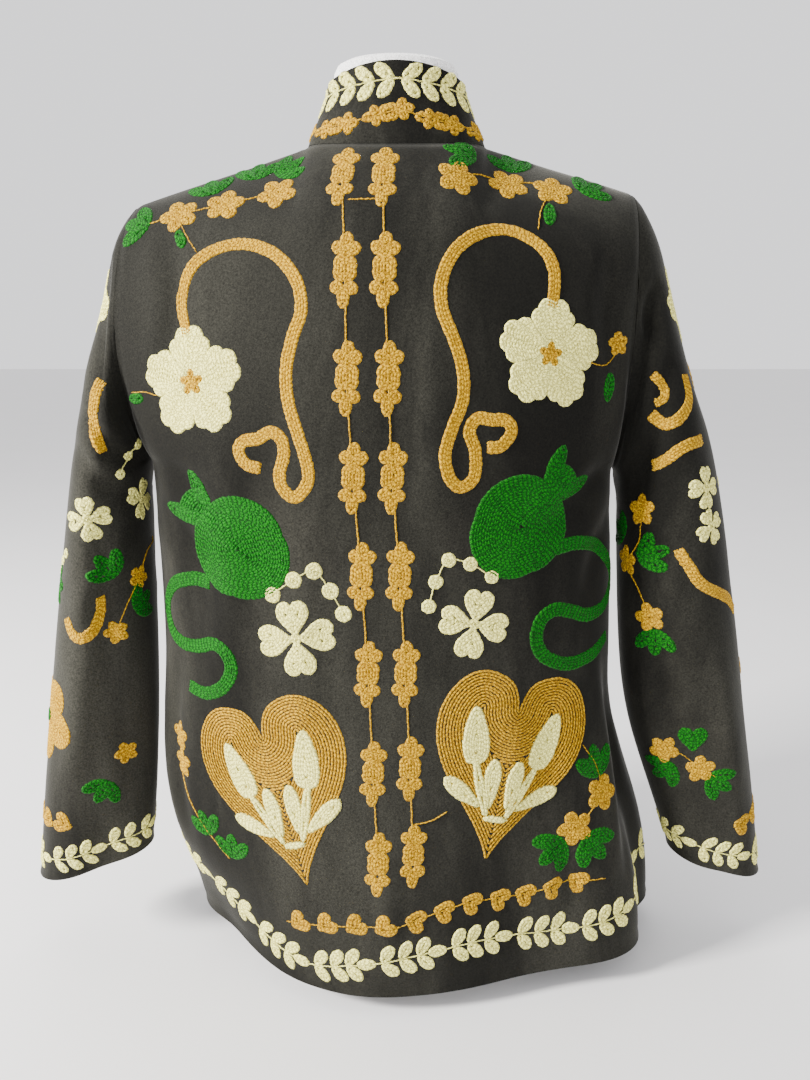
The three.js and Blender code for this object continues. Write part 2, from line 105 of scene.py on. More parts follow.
# Creases: the side they show on (degrees round from the back), their line in mm (across, up),
# half width and depth in mm. A negative depth stands out as a ridge.
BODY_CREASES = (
    (0, ((-205, 512), (-178, 482), (-130, 462)), 11, 4.9),
    (0, ((-212, 470), (-190, 440), (-168, 400)), 13, 4.4),
    (0, ((192, 512), (160, 478), (126, 452)), 12, 5.3),
    (0, ((206, 470), (182, 430), (170, 380)), 11, 3.9),
    (0, ((-196, 700), (-186, 650), (-198, 590)), 10, 3.5),
    (0, ((182, 700), (176, 640), (186, 575)), 10, 3.1),
    (0, ((26, 640), (32, 540), (26, 450)), 16, -3.5),
    (0, ((-158, 540), (-150, 400), (-170, 290)), 19, -4.9),
    (0, ((-55, 470), (-62, 360), (-50, 260)), 17, 3.1),
    (0, ((120, 340), (136, 240), (118, 130)), 18, 3.9),
    (0, ((-26, 170), (-8, 110), (-16, 50)), 14, -3.9),
    (0, ((150, 170), (162, 110), (154, 62)), 12, 4.4),
    (20, ((170, 330), (190, 220), (186, 90)), 11, 7.0),
    (-30, ((-150, 330), (-166, 240), (-150, 130)), 12, 5.6),
    (180, ((-150, 520), (-112, 470), (-84, 440)), 12, 4.9),
    (180, ((160, 525), (118, 480), (92, 430)), 13, 5.3),
    (180, ((70, 700), (92, 620), (84, 540)), 14, 3.5),
    (180, ((-84, 690), (-96, 600), (-78, 520)), 14, 3.6),
    (180, ((110, 330), (96, 220), (116, 80)), 17, -5.3),
    (180, ((-120, 350), (-136, 240), (-112, 90)), 16, 5.3),
    (180, ((-58, 250), (-50, 170), (-62, 60)), 13, -3.9),
    (180, ((190, 380), (204, 260), (188, 120)), 14, 4.9),
)
LEFT_SLEEVE_CREASES = (
    (0, ((-252, 690), (-262, 630), (-262, 545)), 9, 7.1),
    (0, ((-240, 500), (-256, 522), (-276, 552)), 9, 7.5),
    (0, ((-243, 470), (-262, 486), (-290, 520)), 10, 6.1),
    (0, ((-264, 470), (-270, 390), (-274, 290)), 12, 6.7),
    (0, ((-241, 410), (-262, 388), (-290, 352)), 10, 5.5),
    (0, ((-268, 270), (-262, 200), (-276, 140)), 12, 4.6),
    (0, ((-300, 330), (-306, 260), (-322, 190)), 13, -4.2),
    (180, ((262, 680), (252, 600), (262, 530)), 10, 7.1),
    (180, ((246, 470), (270, 500), (296, 545)), 10, 7.1),
    (180, ((256, 400), (282, 380), (304, 330)), 12, 5.5),
    (180, ((290, 300), (296, 230), (318, 150)), 13, 4.6),
    (-90, ((8, 600), (2, 500), (12, 400)), 14, 4.6),
    (-90, ((-14, 360), (-8, 280), (-18, 190)), 13, -4.2),
)
RIGHT_SLEEVE_CREASES = (
    (0, ((230, 668), (214, 640), (226, 612)), 9, 7.1),
    (0, ((222, 650), (210, 600), (206, 548)), 9, 7.5),
    (0, ((240, 600), (230, 560), (222, 500)), 10, 5.5),
    (0, ((224, 528), (222, 498), (218, 462)), 9, 6.1),
    (0, ((216, 450), (236, 430), (262, 416)), 10, 6.1),
    (0, ((226, 400), (246, 320), (284, 200)), 13, 5.2),
    (0, ((300, 330), (318, 250), (338, 170)), 13, -4.6),
    (180, ((-226, 660), (-214, 590), (-224, 520)), 10, 7.1),
    (180, ((-214, 460), (-240, 486), (-262, 530)), 10, 7.1),
    (180, ((-232, 390), (-262, 360), (-290, 300)), 12, 6.1),
    (180, ((-276, 270), (-300, 200), (-326, 140)), 13, 4.6),
    (90, ((-8, 580), (2, 480), (-6, 390)), 14, 4.6),
    (90, ((12, 350), (4, 270), (14, 180)), 13, -4.2),
)
COLLAR_CREASES = (
    (0, ((-40, 806), (-20, 809), (2, 809), (24, 806), (38, 801)), 4, 1.7),
    (0, ((-30, 799), (0, 801), (30, 797)), 5, -0.8),
    (-60, ((-20, 800), (-2, 796), (18, 788)), 5, 1.0),
    (60, ((-20, 790), (0, 797), (20, 802)), 5, 1.0),
)
CREASES = {
    "back": BODY_CREASES,
    "front_left": BODY_CREASES,
    "front_right": BODY_CREASES,
    "sleeve_left": LEFT_SLEEVE_CREASES,
    "sleeve_right": RIGHT_SLEEVE_CREASES,
    "collar": COLLAR_CREASES,
}


# ---------------------------------------------------------------- settings


class JacketClothSettings(bpy.types.PropertyGroup):
    """Sizes and colours of the velvet."""

    thickness: bpy.props.FloatProperty(
        name="Thickness", description="Thickness of the velvet", default=0.002, unit="LENGTH"
    )
    seam_depth: bpy.props.FloatProperty(
        name="Seam Depth", description="How far a seam pulls the pile in",
        default=0.0016, unit="LENGTH",
    )
    seam_width: bpy.props.FloatProperty(
        name="Seam Width", description="Half width of the hollow along a seam",
        default=0.005, unit="LENGTH",
    )
    hem_width: bpy.props.FloatProperty(
        name="Hem Width", description="Width of the turned edge", default=0.009, unit="LENGTH"
    )
    smoothness: bpy.props.IntProperty(
        name="Smoothness", description="Levels of subdivision", default=2, min=1, max=3
    )
    velvet: bpy.props.FloatVectorProperty(
        name="Velvet", description="Colour of the pile", subtype="COLOR", size=4,
        default=(0.0052, 0.0050, 0.0039, 1.0),
    )
    # Also the colour of the painted highlight near one place on the upper back.
    brushed: bpy.props.FloatVectorProperty(
        name="Brushed Velvet", description="Colour where the pile lies the other way",
        subtype="COLOR", size=4, default=(0.034, 0.033, 0.026, 1.0),
    )


class JacketThreadSettings(bpy.types.PropertyGroup):
    """Sizes and colours of the chain stitch."""

    row: bpy.props.FloatProperty(
        name="Row Spacing", description="Distance between rows of stitch",
        default=ROW * MM, unit="LENGTH",
    )
    step: bpy.props.FloatProperty(
        name="Half Link", description="Half the length of one chain link",
        default=0.0021, unit="LENGTH",
    )
    height: bpy.props.FloatProperty(
        name="Height", description="How far a row stands above the pile",
        default=0.0010, unit="LENGTH",
    )
    gold: bpy.props.FloatVectorProperty(
        name="Gold", description="Colour of the gold thread", subtype="COLOR", size=4,
        default=(0.57, 0.33, 0.004, 1.0),
    )
    cream: bpy.props.FloatVectorProperty(
        name="Cream", description="Colour of the cream thread", subtype="COLOR", size=4,
        default=(1.0, 0.96, 0.30, 1.0),
    )
    green: bpy.props.FloatVectorProperty(
        name="Green", description="Colour of the green thread", subtype="COLOR", size=4,
        default=(0.0004, 0.125, 0.0004, 1.0),
    )


# ---------------------------------------------------------------- lines and outlines, in mm


def view_axes(azimuth):
    """The rightward and outward directions for someone looking from azimuth degrees round."""
    turn = math.radians(azimuth)
    outward = np.array((-math.sin(turn), math.cos(turn), 0.0))
    return np.cross(UP, outward), outward


def curve_through(points, closed=False, pieces=12):
    """A smooth line through given points."""
    points = np.asarray(points, dtype=float)
    if len(points) < 3:
        return points
    if closed:
        around = np.vstack([points[-1:], points, points[:2]])
    else:
        first = 2 * points[0] - points[1]
        last = 2 * points[-1] - points[-2]
        around = np.vstack([first, points, last])
    along = np.linspace(0, 1, pieces, endpoint=False)[:, None]
    spans = []
    for a, b, c, d in zip(around, around[1:], around[2:], around[3:]):
        cubic = 3 * (b - c) + d - a
        square = 2 * a - 5 * b + 4 * c - d
        spans.append(b + 0.5 * along * (c - a + along * (square + along * cubic)))
    line = np.vstack(spans)
    return line if closed else np.vstack([line, points[-1:]])


def even_steps(points, step, closed=False):
    """The same line in equal steps of about the given length."""
    if closed:
        points = np.vstack([points, points[:1]])
    lengths = np.linalg.norm(np.diff(points, axis=0), axis=1)
    travelled = np.concatenate([[0.0], np.cumsum(lengths)])
    count = max(5 if closed else 2, round(travelled[-1] / step))
    places = np.linspace(0, travelled[-1], count + 1)
    line = np.column_stack([np.interp(places, travelled, axis) for axis in points.T])
    return line[:-1] if closed else line


def turned(points, degrees):
    """Points turned anticlockwise about the middle."""
    angle = math.radians(degrees)
    cosine, sine = math.cos(angle), math.sin(angle)
    return np.asarray(points, dtype=float) @ np.array(((cosine, sine), (-sine, cosine)))


def oval(width, length, at=(0, 0), turn=0):
    """An oval petal or bead."""
    angles = np.linspace(0, 2 * math.pi, 32, endpoint=False)
    shape = np.column_stack([np.cos(angles) * width / 2, np.sin(angles) * length / 2])
    return turned(shape, turn) + at


def leaf(width, length, at=(0, 0), turn=0, fullness=0.8):
    """A leaf or teardrop that grows upwards from its stalk; more fullness is nearer the tip."""
    along = np.linspace(0, 1, 20)
    swell = np.sin(math.pi * along**fullness) ** 0.55 * width / 2
    right_side = np.column_stack([swell, along * length])
    left_side = np.column_stack([-swell, along * length])[::-1][1:-1]
    return turned(np.vstack([right_side, left_side]), turn) + at


def heart(width, height, at=(0, 0), turn=0, notch=1.0):
    """A heart with its point down; notch, from 0 to 1, is how deep it dips between its lobes."""
    angles = np.linspace(0, 2 * math.pi, 96, endpoint=False)
    across = 16 * np.sin(angles) ** 3
    up = 13 * np.cos(angles) - 5 * np.cos(2 * angles) - 2 * np.cos(3 * angles) - np.cos(4 * angles)
    up += (1 - notch) * 6 * np.exp(-((across / 3.6) ** 2)) * (np.cos(angles) > 0)
    shape = np.column_stack([across * width / 32, (up + 2.5) * height / 29])
    return turned(shape, turn) + at


def lobed(width, length, lobes, at=(0, 0), dip=0.2):
    """A round form with a scalloped edge; its first lobe lies half a lobe round from the top."""
    angles = np.linspace(0, 2 * math.pi, 16 * lobes, endpoint=False)
    reach = 1 - dip + dip * np.abs(np.sin(angles * lobes / 2)) ** 0.7
    shape = np.column_stack([np.sin(angles) * width / 2, np.cos(angles) * length / 2])
    return shape * reach[:, None] + at


def round_cluster(circles):
    """The outline of overlapping circles (across, up, radius) round the middle."""
    angles = np.linspace(0, 2 * math.pi, 200, endpoint=False)
    rays = np.column_stack([np.sin(angles), np.cos(angles)])
    reach = np.zeros(len(angles))
    for across, up, radius in circles:
        ahead = rays @ (across, up)
        inside = radius**2 - (across**2 + up**2 - ahead**2)
        edge = np.where(inside > 0, ahead + np.sqrt(np.clip(inside, 0, None)), 0)
        reach = np.maximum(reach, edge)
    return rays * reach[:, None]


def scalloped_flower(radius):
    """A wide flower whose petals each end in four scallops."""
    circles = [(0, 0, radius * 0.52)]
    for petal in range(PETALS):
        turn = 360 * petal / PETALS
        for reach, spread in ((0.84, -8), (0.84, 8), (0.69, -21), (0.69, 21)):
            across, up = turned([(0, radius * reach)], turn + spread)[0]
            circles.append((across, up, radius * 0.155))
    return round_cluster(circles)


def area_of(outline):
    """The area inside an outline, negative if it runs clockwise."""
    following = np.roll(outline, -1, axis=0)
    return np.sum(outline[:, 0] * following[:, 1] - outline[:, 1] * following[:, 0]) / 2


def spaced_inside(outline, depth):
    """The loops that lie a given depth inside an outline: one, several, or none near its middle."""
    outline = even_steps(outline, 1.0, closed=True)
    forward = np.roll(outline, -1, axis=0) - np.roll(outline, 1, axis=0)
    forward /= np.maximum(np.linalg.norm(forward, axis=1), 1e-6)[:, None]
    area = area_of(outline)
    inward = np.column_stack([-forward[:, 1], forward[:, 0]]) * np.sign(area)
    moved = outline + inward * depth
    gaps = np.linalg.norm(moved[:, None] - outline[None], axis=2).min(axis=1)
    kept = moved[gaps > depth * 0.96]
    if len(kept) < 4:
        return []
    breaks = np.linalg.norm(kept - np.roll(kept, 1, axis=0), axis=1) > LOOP_BREAK
    kept = np.roll(kept, -int(breaks.argmax()), axis=0)
    cuts = np.flatnonzero(np.linalg.norm(np.diff(kept, axis=0), axis=1) > LOOP_BREAK) + 1
    loops = np.split(kept, cuts)
    return [loop for loop in loops if len(loop) > 5 and abs(area_of(loop)) < abs(area)]


def filled(outline, row=ROW):
    """Rows of stitch that follow an outline inwards until it is full."""
    rows = []
    loops = spaced_inside(outline, row / 2)
    while loops:
        rows += [(loop, True) for loop in loops]
        loops = [inner for loop in loops for inner in spaced_inside(loop, row)]
    return rows


def shrunk(outline, inner):
    """Rows that follow an outline as smaller and smaller copies of it, down to an inner radius."""
    reach = np.linalg.norm(outline, axis=1).mean()
    sizes = np.arange(reach - ROW / 2, inner, -ROW) / reach
    return [(outline * size, True) for size in sizes]


# ---------------------------------------------------------------- motifs, in mm


def round_petals(radius, reach, width, length):
    """The filled petals of a flower; reach, width and length are shares of its radius."""
    rows = []
    for petal in range(PETALS):
        turn = 360 * petal / PETALS
        middle = turned([(0, radius * reach)], turn)[0]
        rows += filled(oval(radius * width, radius * length, middle, turn))
    return rows


def small_flower(radius):
    """A gold flower of plain round petals."""
    petals = round_petals(radius, 0.60, 0.74, 0.86)
    return {"gold": petals + filled(oval(radius * 0.5, radius * 0.5))}


def cream_flower(radius):
    """A wide scalloped cream flower with a small gold star."""
    star = []
    for point in range(PETALS):
        star += filled(leaf(7.5, 12, turn=360 / PETALS * point, fullness=0.55), row=2.1)
    return {"cream": shrunk(scalloped_flower(radius), inner=9.5), "gold": star}


def clover(radius):
    """A four-leaf cream clover."""
    rows = []
    for angle in (0, 90, 180, 270):
        middle = turned([(0, radius * 0.52)], angle)[0]
        rows += filled(heart(radius * 0.88, radius * 1.06, middle, angle, notch=0.7))
    return {"cream": rows + filled(oval(9, 9))}


def link_unit(size=1.0):
    """One gold link of a border: an upright trefoil, a four-lobed body and a hanging trefoil."""
    lobes = (
        (10, 13, 0, 24.5, 0), (10.5, 12, -6, 18, 48), (10.5, 12, 6, 18, -48), (12, 11, 0, 15, 0),
        (11, 10.5, -5.8, -13.5, 14), (11, 10.5, 5.8, -13.5, -14), (9.5, 19, 0, -20.5, 0),
    )
    rows = filled(lobed(21 * size, 24 * size, 4, (0, 2 * size)))
    for width, length, across, up, turn in lobes:
        rows += filled(oval(width * size, length * size, (across * size, up * size), turn))
    return {"gold": rows}


def pomegranate(size):
    """A green pomegranate: a full round body with a forked crown on a short neck."""
    rows = filled(lobed(size, size * 1.07, 3, dip=0.08))
    rows += filled(oval(size * 0.40, size * 0.34, (0, size * 0.60)))
    for side in (-1, 1):
        at = (side * size * 0.10, size * 0.52)
        rows += filled(leaf(size * 0.17, size * 0.38, at, -side * 22))
    return {"green": rows}


def gold_heart(width, height):
    """A large gold heart of close rows, with two cream sprigs on it."""
    rows = filled(heart(width, height, notch=0.75), row=WIDE_ROW)
    size = height / 200
    cream = filled(oval(26 * size, 5.5 * size, (0, -50 * size)))
    for side in (-1, 1):
        for breadth, length, across, up, turn, fullness in (
            (25, 60, 31, 4, 12, 0.62), (8, 66, 9, -50, 22, 1.0),
            (15, 54, 9, -42, 4, 1.6), (15, 50, 16, -40, 58, 1.6),
        ):
            at = (side * across * size, up * size)
            cream += filled(leaf(breadth * size, length * size, at, -side * turn, fullness))
    return {"gold open": rows, "cream raised": cream}


def border_heart(turn):
    """One small heart of the gold hem border."""
    return {"gold": filled(heart(22, 21, turn=turn))}


def leaf_spray(size):
    """Three green leaves from one stalk."""
    rows = []
    for spread in (-42, 0, 42):
        rows += filled(leaf(12.5 * size, 27 * size, turn=spread, fullness=1.2))
    return {"green": rows}


def long_leaf(width, length):
    """One pointed green leaf."""
    return {"green": filled(leaf(width, length, fullness=0.9))}


def bead(size):
    """One round cream bead."""
    return {"cream": filled(oval(size, size))}


def petal_flower(radius):
    """A large gold flower of round petals with a green middle."""
    return {"gold": round_petals(radius, 0.56, 0.80, 0.92), "green raised": filled(oval(13, 13))}


# ---------------------------------------------------------------- the cloth as a surface to sew on


class Skin:
    """The outside of some garment pieces."""

    def __init__(self, *pieces):
        vertices = []
        faces = []
        for piece in pieces:
            cloth = bpy.data.objects[f"velvet_{piece}"]
            outside = cloth.data.polygons[: cloth["outside_faces"]]
            start = len(vertices)
            vertices += [vertex.co.copy() for vertex in cloth.data.vertices]
            faces += [[start + index for index in face.vertices] for face in outside]
        self.tree = BVHTree.FromPolygons(vertices, faces)

    def along(self, start, direction):
        """The first point of cloth along a line, with its outward direction."""
        hit, normal, _, distance = self.tree.ray_cast(Vector(start), Vector(direction))
        if hit is None:
            return None
        return np.array(hit), np.array(normal)

    def nearest(self, point):
        """The nearest point of cloth, with its outward direction."""
        hit, normal, _, _ = self.tree.find_nearest(Vector(point))
        return np.array(hit), np.array(normal)

    def seen_from(self, azimuth, across, height):
        """The cloth at a place in mm, as it is seen from one side."""
        right, outward = view_axes(azimuth)
        start = (right * across + UP * height) * MM + outward
        found = self.along(start, -outward)
        return found if found else self.nearest(start - outward)

    def spot(self, azimuth, across, height, turn=0):
        """A place to sew a motif: its point and its outward, rightward and upward directions."""
        point, _ = self.seen_from(azimuth, across, height)
        shifts = ((0, 0), (9, 0), (-9, 0), (0, 9), (0, -9))
        outward = sum(self.seen_from(azimuth, across + x, height + z)[1] for x, z in shifts)
        return framed(point, outward, UP, turn)


def framed(point, outward, upward, turn=0):
    """A place to sew at, with its axes turned anticlockwise as seen from outside."""
    outward = outward / np.linalg.norm(outward)
    upward = upward - outward * (upward @ outward)
    upward = upward / np.linalg.norm(upward)
    right = np.cross(upward, outward)
    angle = math.radians(turn)
    cosine, sine = math.cos(angle), math.sin(angle)
    return point, outward, right * cosine + upward * sine, upward * cosine - right * sine


class Stitching:
    """Rows of raised chain stitch on one garment piece, one mesh for each thread."""

    OVERLAP = 2.05  # width of a row's ridge, in row spacings
    CREST, LINK_RISE, UNEVENNESS = 0.92, 0.12, 0.14  # shares of the stitch height
    SWAY = 0.0003  # how far a stitch strays to the side
    SUNK = 0.00035  # how deep the edges of a row lie in the pile
    RAISED = 0.0008  # lift of a motif that lies on another
    OPEN_WIDTH = 0.0031  # width of a row in a motif of wide rows
    SEARCH = 0.04  # how far above a motif's flat plane the search for cloth starts
    FAR_OFF = 0.06  # cloth further than this from the flat plane isn't the motif's
    STRIDE = 5  # longest step in mm of a walk over the cloth

    def __init__(self, piece, skin, seed):
        self.piece = piece
        self.skin = skin
        self.settings = bpy.context.scene.jacket_threads
        self.random = np.random.default_rng(seed)
        self.vertices = {thread: [] for thread in THREADS}
        self.faces = {thread: [] for thread in THREADS}
        self.corners = {thread: [] for thread in THREADS}

    def sew(self, thread, points, normals, closed=False, width=None, lift=0.0):
        """Adds one row through points on the cloth, as a low closed ridge of links."""
        count = len(points)
        if closed:
            forward = np.roll(points, -1, axis=0) - np.roll(points, 1, axis=0)
        else:
            forward = np.gradient(points, axis=0)
        side = np.cross(normals, forward)
        side /= np.maximum(np.linalg.norm(side, axis=1), 1e-9)[:, None]
        settings = self.settings
        half = np.full(count, (width or settings.row * self.OVERLAP) / 2)
        links = (np.arange(count) + self.random.integers(2)) % 2
        uneven = self.random.uniform(-self.UNEVENNESS, self.UNEVENNESS, count)
        crest = settings.height * (self.CREST + self.LINK_RISE * links + uneven)
        if not closed:
            half[[0, -1]] *= 0.5
            crest[[0, -1]] *= 0.4
        sway = self.random.uniform(-self.SWAY, self.SWAY, count)
        middle = points + side * sway[:, None]
        sunk = normals * (self.SUNK - lift)
        left = middle + side * half[:, None] - sunk
        right = middle - side * half[:, None] - sunk
        top = middle + normals * (crest + lift)[:, None]
        start = len(self.vertices[thread])
        self.vertices[thread] += np.stack([left, top, right], axis=1).reshape(-1, 3).tolist()
        self.add_faces(thread, start, count, closed, self.random.random())

    def add_faces(self, thread, start, count, closed, phase):
        """Joins the three lines of a row all round, and closes its ends."""
        faces = self.faces[thread]
        corners = self.corners[thread]
        for link in range(count if closed else count - 1):
            here = start + 3 * link
            there = start + 3 * ((link + 1) % count)
            low, high = phase + link * 0.5, phase + (link + 1) * 0.5
            faces.append((here, here + 1, there + 1, there))
            faces.append((here + 1, here + 2, there + 2, there + 1))
            faces.append((here + 2, here, there, there + 2))
            corners += [low, 0.0, low, 0.5, high, 0.5, high, 0.0]
            corners += [low, 0.5, low, 1.0, high, 1.0, high, 0.5]
            corners += [low, 1.0, low, 0.0, high, 0.0, high, 1.0]
        if not closed:
            end = start + 3 * (count - 1)
            faces.append((start, start + 2, start + 1))
            faces.append((end, end + 1, end + 2))
            corners += [0.0, 0.0, 0.0, 1.0, 0.0, 0.5]
            corners += [0.0, 0.0, 0.0, 0.5, 0.0, 1.0]

    def motif(self, spot, drawing, wrapped=False):
        """Lays a flat motif on the cloth at a spot, seen straight on or wrapped round a sleeve."""
        point, outward, right, upward = spot
        step = self.settings.step / MM
        for name, rows in drawing.items():
            thread = name.split()[0]
            lift = self.RAISED if "raised" in name else 0.0
            width = self.OPEN_WIDTH if "open" in name else None
            for flat, closed in rows:
                flat = even_steps(flat, step, closed)
                if wrapped:
                    placed = [self.walked(spot, x, y) for x, y in flat]
                else:
                    plane = [point + (right * x + upward * y) * MM for x, y in flat]
                    placed = [self.laid(place, outward) for place in plane]
                points = np.array([place[0] for place in placed])
                normals = np.array([place[1] for place in placed])
                self.sew(thread, points, normals, closed, width, lift)

    def laid(self, point, outward):
        """A flat point brought down onto the cloth."""
        found = self.skin.along(point + outward * self.SEARCH, -outward)
        if found is None or np.linalg.norm(found[0] - point) > self.FAR_OFF:
            found = self.skin.nearest(point)
        return found

    def walked(self, spot, x, y):
        """A flat point reached by walking over the cloth from the middle of its motif."""
        place, outward, right, upward = spot
        ahead = right * x + upward * y
        length = math.hypot(x, y)
        steps = max(1, math.ceil(length / self.STRIDE))
        for _ in range(steps):
            ahead = ahead - outward * (ahead @ outward)
            ahead = ahead / max(np.linalg.norm(ahead), 1e-9)
            place, outward = self.skin.nearest(place + ahead * length / steps * MM)
        return place, outward

    def path(self, stops):
        """A smooth line on the cloth through stops (azimuth, across, height)."""
        found = [self.skin.seen_from(*stop)[0] for stop in curve_through(stops)]
        return even_steps(np.array(found), self.settings.step)

    def line(self, thread, stops, rows=1, width=None):
        """One or more rows side by side along a smooth line through stops."""
        middle = self.path(stops)
        outward = np.array([self.skin.nearest(point)[1] for point in middle])
        side = np.cross(outward, np.gradient(middle, axis=0))
        side /= np.maximum(np.linalg.norm(side, axis=1), 1e-9)[:, None]
        for row in range(rows):
            shift = (row - (rows - 1) / 2) * self.settings.row
            beside = [self.skin.nearest(point) for point in middle + side * shift]
            points = np.array([place[0] for place in beside])
            normals = np.array([place[1] for place in beside])
            self.sew(thread, points, normals, width=width)

    def spots_along(self, stops, spacing):
        """Evenly spaced spots along a line; each one's upward direction runs along it."""
        middle = self.path(stops)
        forward = np.gradient(middle, axis=0)
        stride = spacing / self.settings.step
        count = int(len(middle) / stride)
        spots = []
        for place in range(count):
            index = min(int((place + 0.5) * stride), len(middle) - 1)
            point, outward = self.skin.nearest(middle[index])
            spots.append(framed(point, outward, forward[index]))
        return spots

    def vine(self, stops, pitch=16.5, group=3, width=11, length=20, spread=52):
        """A cream vine: groups of leaf pairs with one oval leaf on the stem between groups."""
        self.line("cream", stops, width=THIN)
        pair = []
        for side in (-1, 1):
            pair += filled(leaf(width, length, (0, -2), side * spread, 1.25))
        single = filled(oval(width * 0.95, pitch * 1.05))
        for number, spot in enumerate(self.spots_along(stops, pitch * MM)):
            self.motif(spot, {"cream": single if number % (group + 1) == group else pair})

    def chain_border(self, stops, pitch=83, size=1.0, width=STRONG):
        """A border of gold links on one thread."""
        self.line("gold", stops, width=width)
        for spot in self.spots_along(stops, pitch * MM):
            self.motif(spot, link_unit(size))

    def heart_border(self, stops, turn, pitch=27):
        """A border of small gold hearts on a thin thread."""
        self.line("gold", stops, width=THIN)
        for spot in self.spots_along(stops, pitch * MM):
            self.motif(spot, border_heart(turn))

    def beads(self, stops, size=14):
        """Cream beads on a thin thread, one at each stop."""
        self.line("cream", stops, width=THIN)
        for stop in stops:
            self.motif(self.skin.spot(*stop), bead(size))

    def sprig(self, flowers, leaves, stem, radius=14, size=1.0):
        """Gold flowers and green leaves on a thin gold stem."""
        self.line("gold", stem, width=FINE)
        for stop in leaves:
            self.motif(self.skin.spot(*stop), leaf_spray(size))
        for stop in flowers:
            self.motif(self.skin.spot(*stop, turn=int(stop[1]) % 72), small_flower(radius))

    def finish(self):
        """Makes one object for each thread that was used."""
        for thread in THREADS:
            if self.faces[thread]:
                self.build(thread)

    def build(self, thread):
        """Makes the mesh of one thread, with its stitch direction as a UV map."""
        name = f"{thread}_stitch_{self.piece}"
        mesh = bpy.data.meshes.new(name)
        mesh.from_pydata(self.vertices[thread], [], self.faces[thread])
        layer = mesh.uv_layers.new(name="StitchUV")
        layer.uv.foreach_set("vector", self.corners[thread])
        obj = bpy.data.objects.new(name, mesh)
        bpy.context.scene.collection.objects.link(obj)
        select_only(obj)
        bpy.ops.object.shade_smooth()
        obj.data.materials.append(thread_material(thread))
        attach(obj, "root")


# ---------------------------------------------------------------- materials


def new_material(name):
    """A new material with its node tree and its shader."""
    material = bpy.data.materials.new(name)
    material.use_nodes = True
    tree = material.node_tree
    return material, tree, tree.nodes["Principled BSDF"]


def set_values(node, **values):
    """Sets a node's properties, or its inputs where it has no such property."""
    for key, value in values.items():
        if hasattr(node, key):
            setattr(node, key, value)
        else:
            node.inputs[key.replace("_", " ")].default_value = value
    return node


def add(tree, kind, **values):
    """Adds a node and sets its values."""
    return set_values(tree.nodes.new(kind), **values)


def wire(tree, *links):
    """Links nodes: each link names a node, its output, the next node and its input."""
    for source, output, target, socket in links:
        tree.links.new(source.outputs[output], target.inputs[socket])


def new_group(name, colours_in, numbers_in):
    """A new node group that gives a colour and a height, with its input and output nodes."""
    group = bpy.data.node_groups.new(name, "ShaderNodeTree")
    sockets = [(socket, "INPUT", "NodeSocketColor") for socket in colours_in]
    sockets += [(socket, "INPUT", "NodeSocketFloat") for socket in numbers_in]
    sockets += [("Color", "OUTPUT", "NodeSocketColor"), ("Height", "OUTPUT", "NodeSocketFloat")]
    for socket, direction, kind in sockets:
        group.interface.new_socket(socket, in_out=direction, socket_type=kind)
    return group, group.nodes.new("NodeGroupInput"), group.nodes.new("NodeGroupOutput")


def smooth_range(tree, **values):
    """Adds a node that turns one range of numbers smoothly into another."""
    return add(tree, "ShaderNodeMapRange", interpolation_type="SMOOTHSTEP", **values)


def pile_group():
    """Node group: colour and height of cloth pile that lies in soft brushed patches, with a painted
    highlight round one place.
    """
    name = "Brushed Pile"
    if name in bpy.data.node_groups:
        return bpy.data.node_groups[name]
    numbers = ("Patch Scale", "Pile Scale", "Worn Reach")
    group, inside, outside = new_group(name, ("Pile", "Brushed"), numbers)
    place = add(group, "ShaderNodeTexCoord")
    stretch = add(group, "ShaderNodeMapping", Scale=(1.0, 1.0, 0.30))
    patches = add(group, "ShaderNodeTexNoise", Detail=8.0, Roughness=0.62, Distortion=0.4)
    ramp = smooth_range(group, From_Min=0.38, From_Max=0.72, To_Max=0.85)
    # Painted highlight: near one place on the upper back the pile is painted towards the brushed
    # colour, fading out over the reach.
    away = add(group, "ShaderNodeVectorMath", operation="DISTANCE")
    away.inputs[1].default_value = PAINTED_HIGHLIGHT_PLACE
    painted_highlight = smooth_range(group, From_Min=0.02, To_Min=0.42, To_Max=0.0)
    patches_and_highlight = add(group, "ShaderNodeMath", operation="ADD", use_clamp=True)
    mix = add(group, "ShaderNodeMix", data_type="RGBA")
    pile = add(group, "ShaderNodeTexNoise", Detail=3.0, Roughness=0.7)
    speckle = add(group, "ShaderNodeMapRange", From_Min=0.3, From_Max=0.7, To_Min=0.45, To_Max=1.55)
    shade = add(group, "ShaderNodeVectorMath", operation="SCALE")
    wire(
        group,
        (place, "Object", stretch, "Vector"),
        (stretch, "Vector", patches, "Vector"),
        (inside, "Patch Scale", patches, "Scale"),
        (patches, "Fac", ramp, "Value"),
        (place, "Object", away, 0),
        (away, "Value", painted_highlight, "Value"),
        (inside, "Worn Reach", painted_highlight, "From Max"),
        (ramp, "Result", patches_and_highlight, 0),
        (painted_highlight, "Result", patches_and_highlight, 1),
        (patches_and_highlight, "Value", mix, "Factor"),
        (inside, "Pile", mix, "A"),
        (inside, "Brushed", mix, "B"),
        (place, "Object", pile, "Vector"),
        (inside, "Pile Scale", pile, "Scale"),
        (pile, "Fac", speckle, "Value"),
        (mix, "Result", shade, "Vector"),
        (speckle, "Result", shade, "Scale"),
        (shade, "Vector", outside, "Color"),
        (pile, "Fac", outside, "Height"),
    )
    return group


